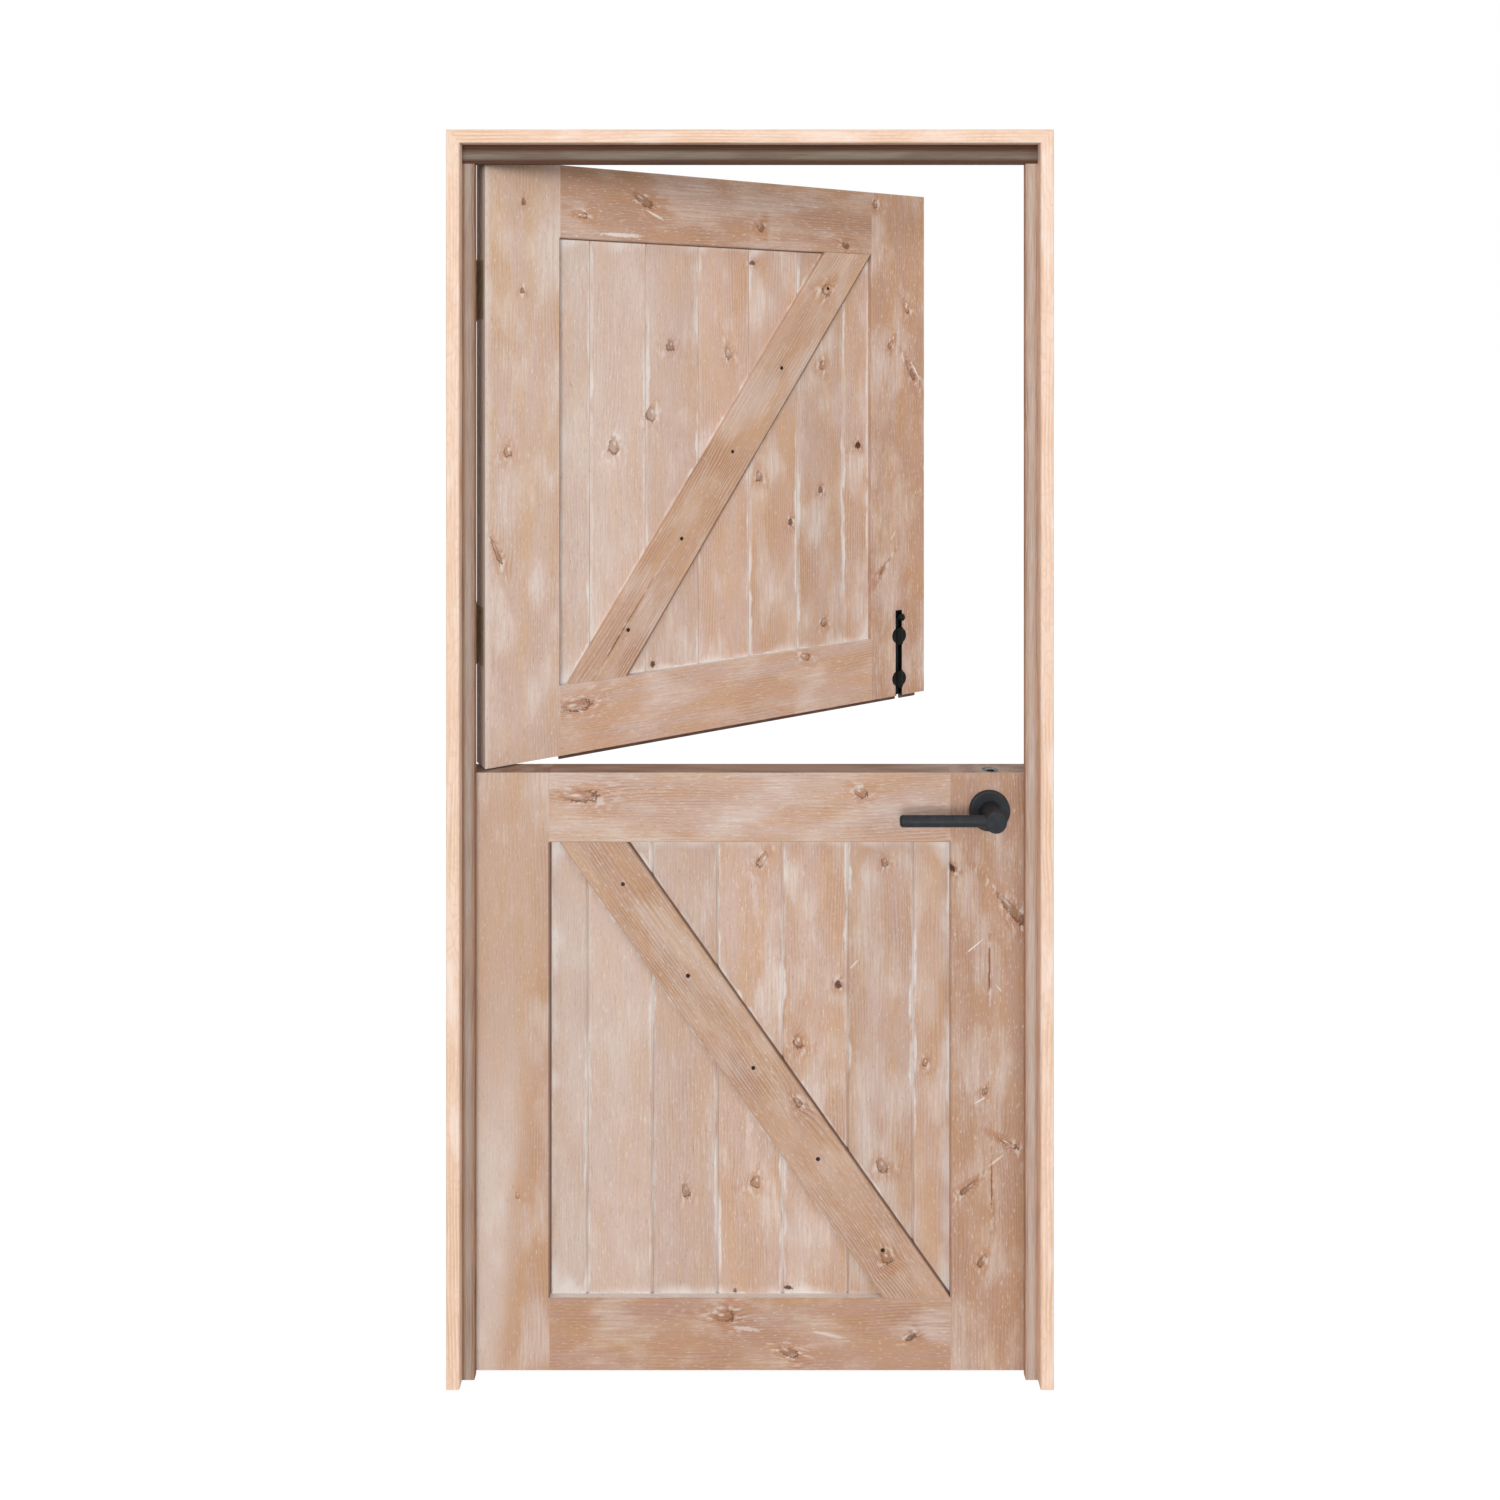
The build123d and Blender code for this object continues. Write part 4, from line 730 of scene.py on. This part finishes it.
countersunk_screws = screw_tree()
plate_screw = {"Head radius": 0.0042, "Head depth": 0.002, "Shank radius": 0.0022, "Cross width": 0.0011}
hinge_screw = plate_screw | {"Seed": 2, "Finish": bronze}
fixings("jamb_hinge_screws", "jamb_plate_screws", countersunk_screws, hinge_screw | {"Length": 0.016},
        "frame")
for leaf_name in ("upper", "lower"):
    fixings(leaf_name + "_hinge_screws", leaf_name + "_plate_screws", countersunk_screws,
            hinge_screw | {"Length": 0.026}, leaf_name + "_leaf")
dress(["strike_plate", "outer_rose", "inner_rose", "outer_lever", "inner_lever"], blue_black)
dress(["bolt_body", "bolt_rod", "bolt_knob", "bolt_keeper"], japan)


# Brace nails
# Wrought nails driven through the brace into the boards, their heads left proud.
# Dark iron, slightly rusted, so the heads read as small brown-black dots.

def bare_metal(name, base, patch_colour, rough):
    """Bare metal with dull patches of a second colour, so that its shine is broken up."""
    patch_size, patch_ramp, metal_ramp = (2.5, 2.5, 2.5), (0.45, 0.62, 0.0, 1.0), (0.0, 1.0, 0.9, 0.3)
    material, tree = new_material(name)
    place = add(tree, "Mapping", {"Vector": add(tree, "TexCoord")["Object"], "Scale": millimetres})[0]
    patch = add(tree, "Group", {"Place": place, "Size": patch_size, "Detail": 4.0}, node_tree=blotches)[0]
    patch = add(tree, "MapRange", (patch, *patch_ramp), **eased)[0]
    shade = add(tree, "Mix", {0: patch, 6: linear(base), 7: linear(patch_colour)}, **colours)[2]
    bump = add(tree, "Bump", {"Height": patch, "Strength": 0.4, "Distance": 0.0003})[0]
    metal = add(tree, "MapRange", (patch, *metal_ramp), **eased)[0]
    surface = add(tree, "BsdfPrincipled", {"Base Color": shade, "Metallic": metal, "Roughness": rough,
                                           "Normal": bump})[0]
    add(tree, "OutputMaterial", (surface,))
    return material


rusted_iron = bare_metal("rusted_iron", "#2a2420", "#3d2a20", 0.6)


def nail_tree():
    """A wrought nail at each point: a head with hammered facets, each struck a little differently."""
    crown_share, smallest = 0.4, 0.9
    tree, given, result = new_fixing(
        "rose_head_nails", {"Head radius": "Float", "Head height": "Float", "Shank radius": "Float",
                            "Length": "Float", "Seed": "Int", "Finish": "Material"})
    crown = add(tree, "Math", (given["Head radius"], crown_share), operation="MULTIPLY")[0]
    head = add(tree, "GeometryNodeMeshCone", {
        "Vertices": 7, "Radius Top": crown, "Radius Bottom": given["Head radius"],
        "Depth": given["Head height"]}, fill_type="NGON")[0]
    lowered = add(tree, "Math", (given["Head height"], -1.0), operation="MULTIPLY")[0]
    head = add(tree, "GeometryNodeTransform", {
        "Geometry": head, "Translation": add(tree, "CombineXYZ", {2: lowered})[0]})[0]
    return finish_fixing(tree, given, result, head, given["Head height"], smallest)


rose_head_nails = nail_tree()
for leaf_name in ("upper", "lower"):
    fixings(leaf_name + "_rose_head_nails", leaf_name + "_brace_nails", rose_head_nails, {
        "Head radius": 0.004, "Head height": 0.0016, "Shank radius": 0.0015, "Length": 0.024,
        "Seed": 4, "Finish": rusted_iron}, leaf_name + "_leaf")


# Latch
# A tubular latch in the lock stile: case, sprung bolt and the square spindle through the levers.
# Zinc-plated steel, grey and slightly cloudy. The corner screws have the same finish.

zinc_plated_steel = bare_metal("zinc_plated_steel", "#a7a9aa", "#8d9092", 0.35)
dress(["latch_case", "latch_bolt", "spindle"], zinc_plated_steel)
fixings("corner_fixing_screws", "corner_screws", countersunk_screws,
        plate_screw | {"Length": 0.075, "Seed": 3, "Finish": zinc_plated_steel}, "frame")


# Meeting seal
# A strip of brown rubber let into the foot of the upper leaf; it closes the gap on the lower leaf.
# Dull, with a faint bloom.

def extruded_rubber(name, colour, dusty):
    """Extruded rubber: dark, dull, a little paler where it is dusty."""
    dust_size, dust_ramp = (25, 25, 6), (0.42, 0.7, 0.0, 1.0)
    material, tree = new_material(name)
    place = add(tree, "Mapping", {"Vector": add(tree, "TexCoord")["Object"], "Scale": millimetres})[0]
    dust = add(tree, "Group", {"Place": place, "Size": dust_size, "Detail": 4.0}, node_tree=blotches)[0]
    dust = add(tree, "MapRange", (dust, *dust_ramp), **eased)[0]
    shade = add(tree, "Mix", {0: dust, 6: linear(colour), 7: linear(dusty)}, **colours)[2]
    surface = add(tree, "BsdfPrincipled", {"Base Color": shade, "Roughness": 0.75})[0]
    add(tree, "OutputMaterial", (surface,))
    return material


dress(["meeting_seal"], extruded_rubber("brown_rubber", "#54392a", "#6b4f3e"))


# Floor, light and camera
# A white floor and sky; a broad key light in front and a little to the left, and softer ones from
# above, from the right and from behind. The floor keeps a faint shadow.

def shows_white(tree):
    """One where the camera sees a surface straight, in a gloss or through glass."""
    ray = add(tree, "LightPath")
    seen = add(tree, "Math", (ray["Is Camera Ray"], ray["Is Glossy Ray"]), operation="MAXIMUM")[0]
    return add(tree, "Math", (seen, ray["Is Transmission Ray"]), operation="MAXIMUM")[0]


def white_floor():
    """White wherever it is seen, less the object's faint shadow."""
    paint_ramp, own_light = (0.0, 1.0, 0.85, 0.15), 0.95
    material, tree = new_material("white_studio_floor")
    seen = shows_white(tree)
    paint = add(tree, "MapRange", (seen, *paint_ramp))[0]
    paint = add(tree, "CombineColor", (paint, paint, paint))[0]
    glow = add(tree, "Math", (seen, own_light), operation="MULTIPLY")[0]
    lit = add(tree, "BsdfDiffuse", {"Color": paint})[0]
    own = add(tree, "Emission", {"Strength": glow})[0]
    add(tree, "OutputMaterial", (add(tree, "AddShader", (lit, own))[0],))
    return material


floor_half = 40.0
floor_mesh = bpy.data.meshes.new("floor")
floor_mesh.from_pydata([(-floor_half, -floor_half, 0), (floor_half, -floor_half, 0),
                        (floor_half, floor_half, 0), (-floor_half, floor_half, 0)], [], [(0, 1, 2, 3)])
floor_mesh.materials.append(white_floor())
floor = bpy.data.objects.new("floor", floor_mesh)
scene.collection.objects.link(floor)

world = bpy.data.worlds.new("white_sky")
world.use_nodes = True
sky, sky_white, sky_strength = world.node_tree, (1.0, 1.0, 1.0, 1.0), 0.29
sky.nodes.clear()
sky_light = add(sky, "MapRange", (shows_white(sky), 0.0, 1.0, sky_strength, 1.0))[0]
add(sky, "OutputWorld", (add(sky, "Background", {"Color": sky_white, "Strength": sky_light})[0],))
scene.world = world

for name, towards, strength, softness in (("key", (-0.15, -1.0, 0.07), 1.68, 24.0),
                                          ("above", (-0.2, -0.6, 1.5), 0.6, 40.0),
                                          ("right", (0.9, -1.0, 0.2), 0.75, 40.0),
                                          ("behind", (0.3, 1.0, 0.1), 1.2, 40.0)):
    lamp = bpy.data.lights.new(name, "SUN")
    lamp.energy = strength
    lamp.angle = math.radians(softness)
    sun = bpy.data.objects.new(name, lamp)
    sun.rotation_euler = Vector(towards).to_track_quat("Z", "Y").to_euler()
    scene.collection.objects.link(sun)

eye_distance, eye_height = 2.024, 1.697
camera_data = bpy.data.cameras.new("camera")
camera_data.sensor_width = 36.0
camera_data.lens = 29.2
camera_data.shift_y = -0.26
camera = bpy.data.objects.new("camera", camera_data)
camera.location = (0.0, -eye_distance, eye_height)
camera.rotation_euler = (math.radians(90), 0.0, 0.0)
scene.collection.objects.link(camera)
scene.camera = camera

scene.view_settings.view_transform = "Standard"
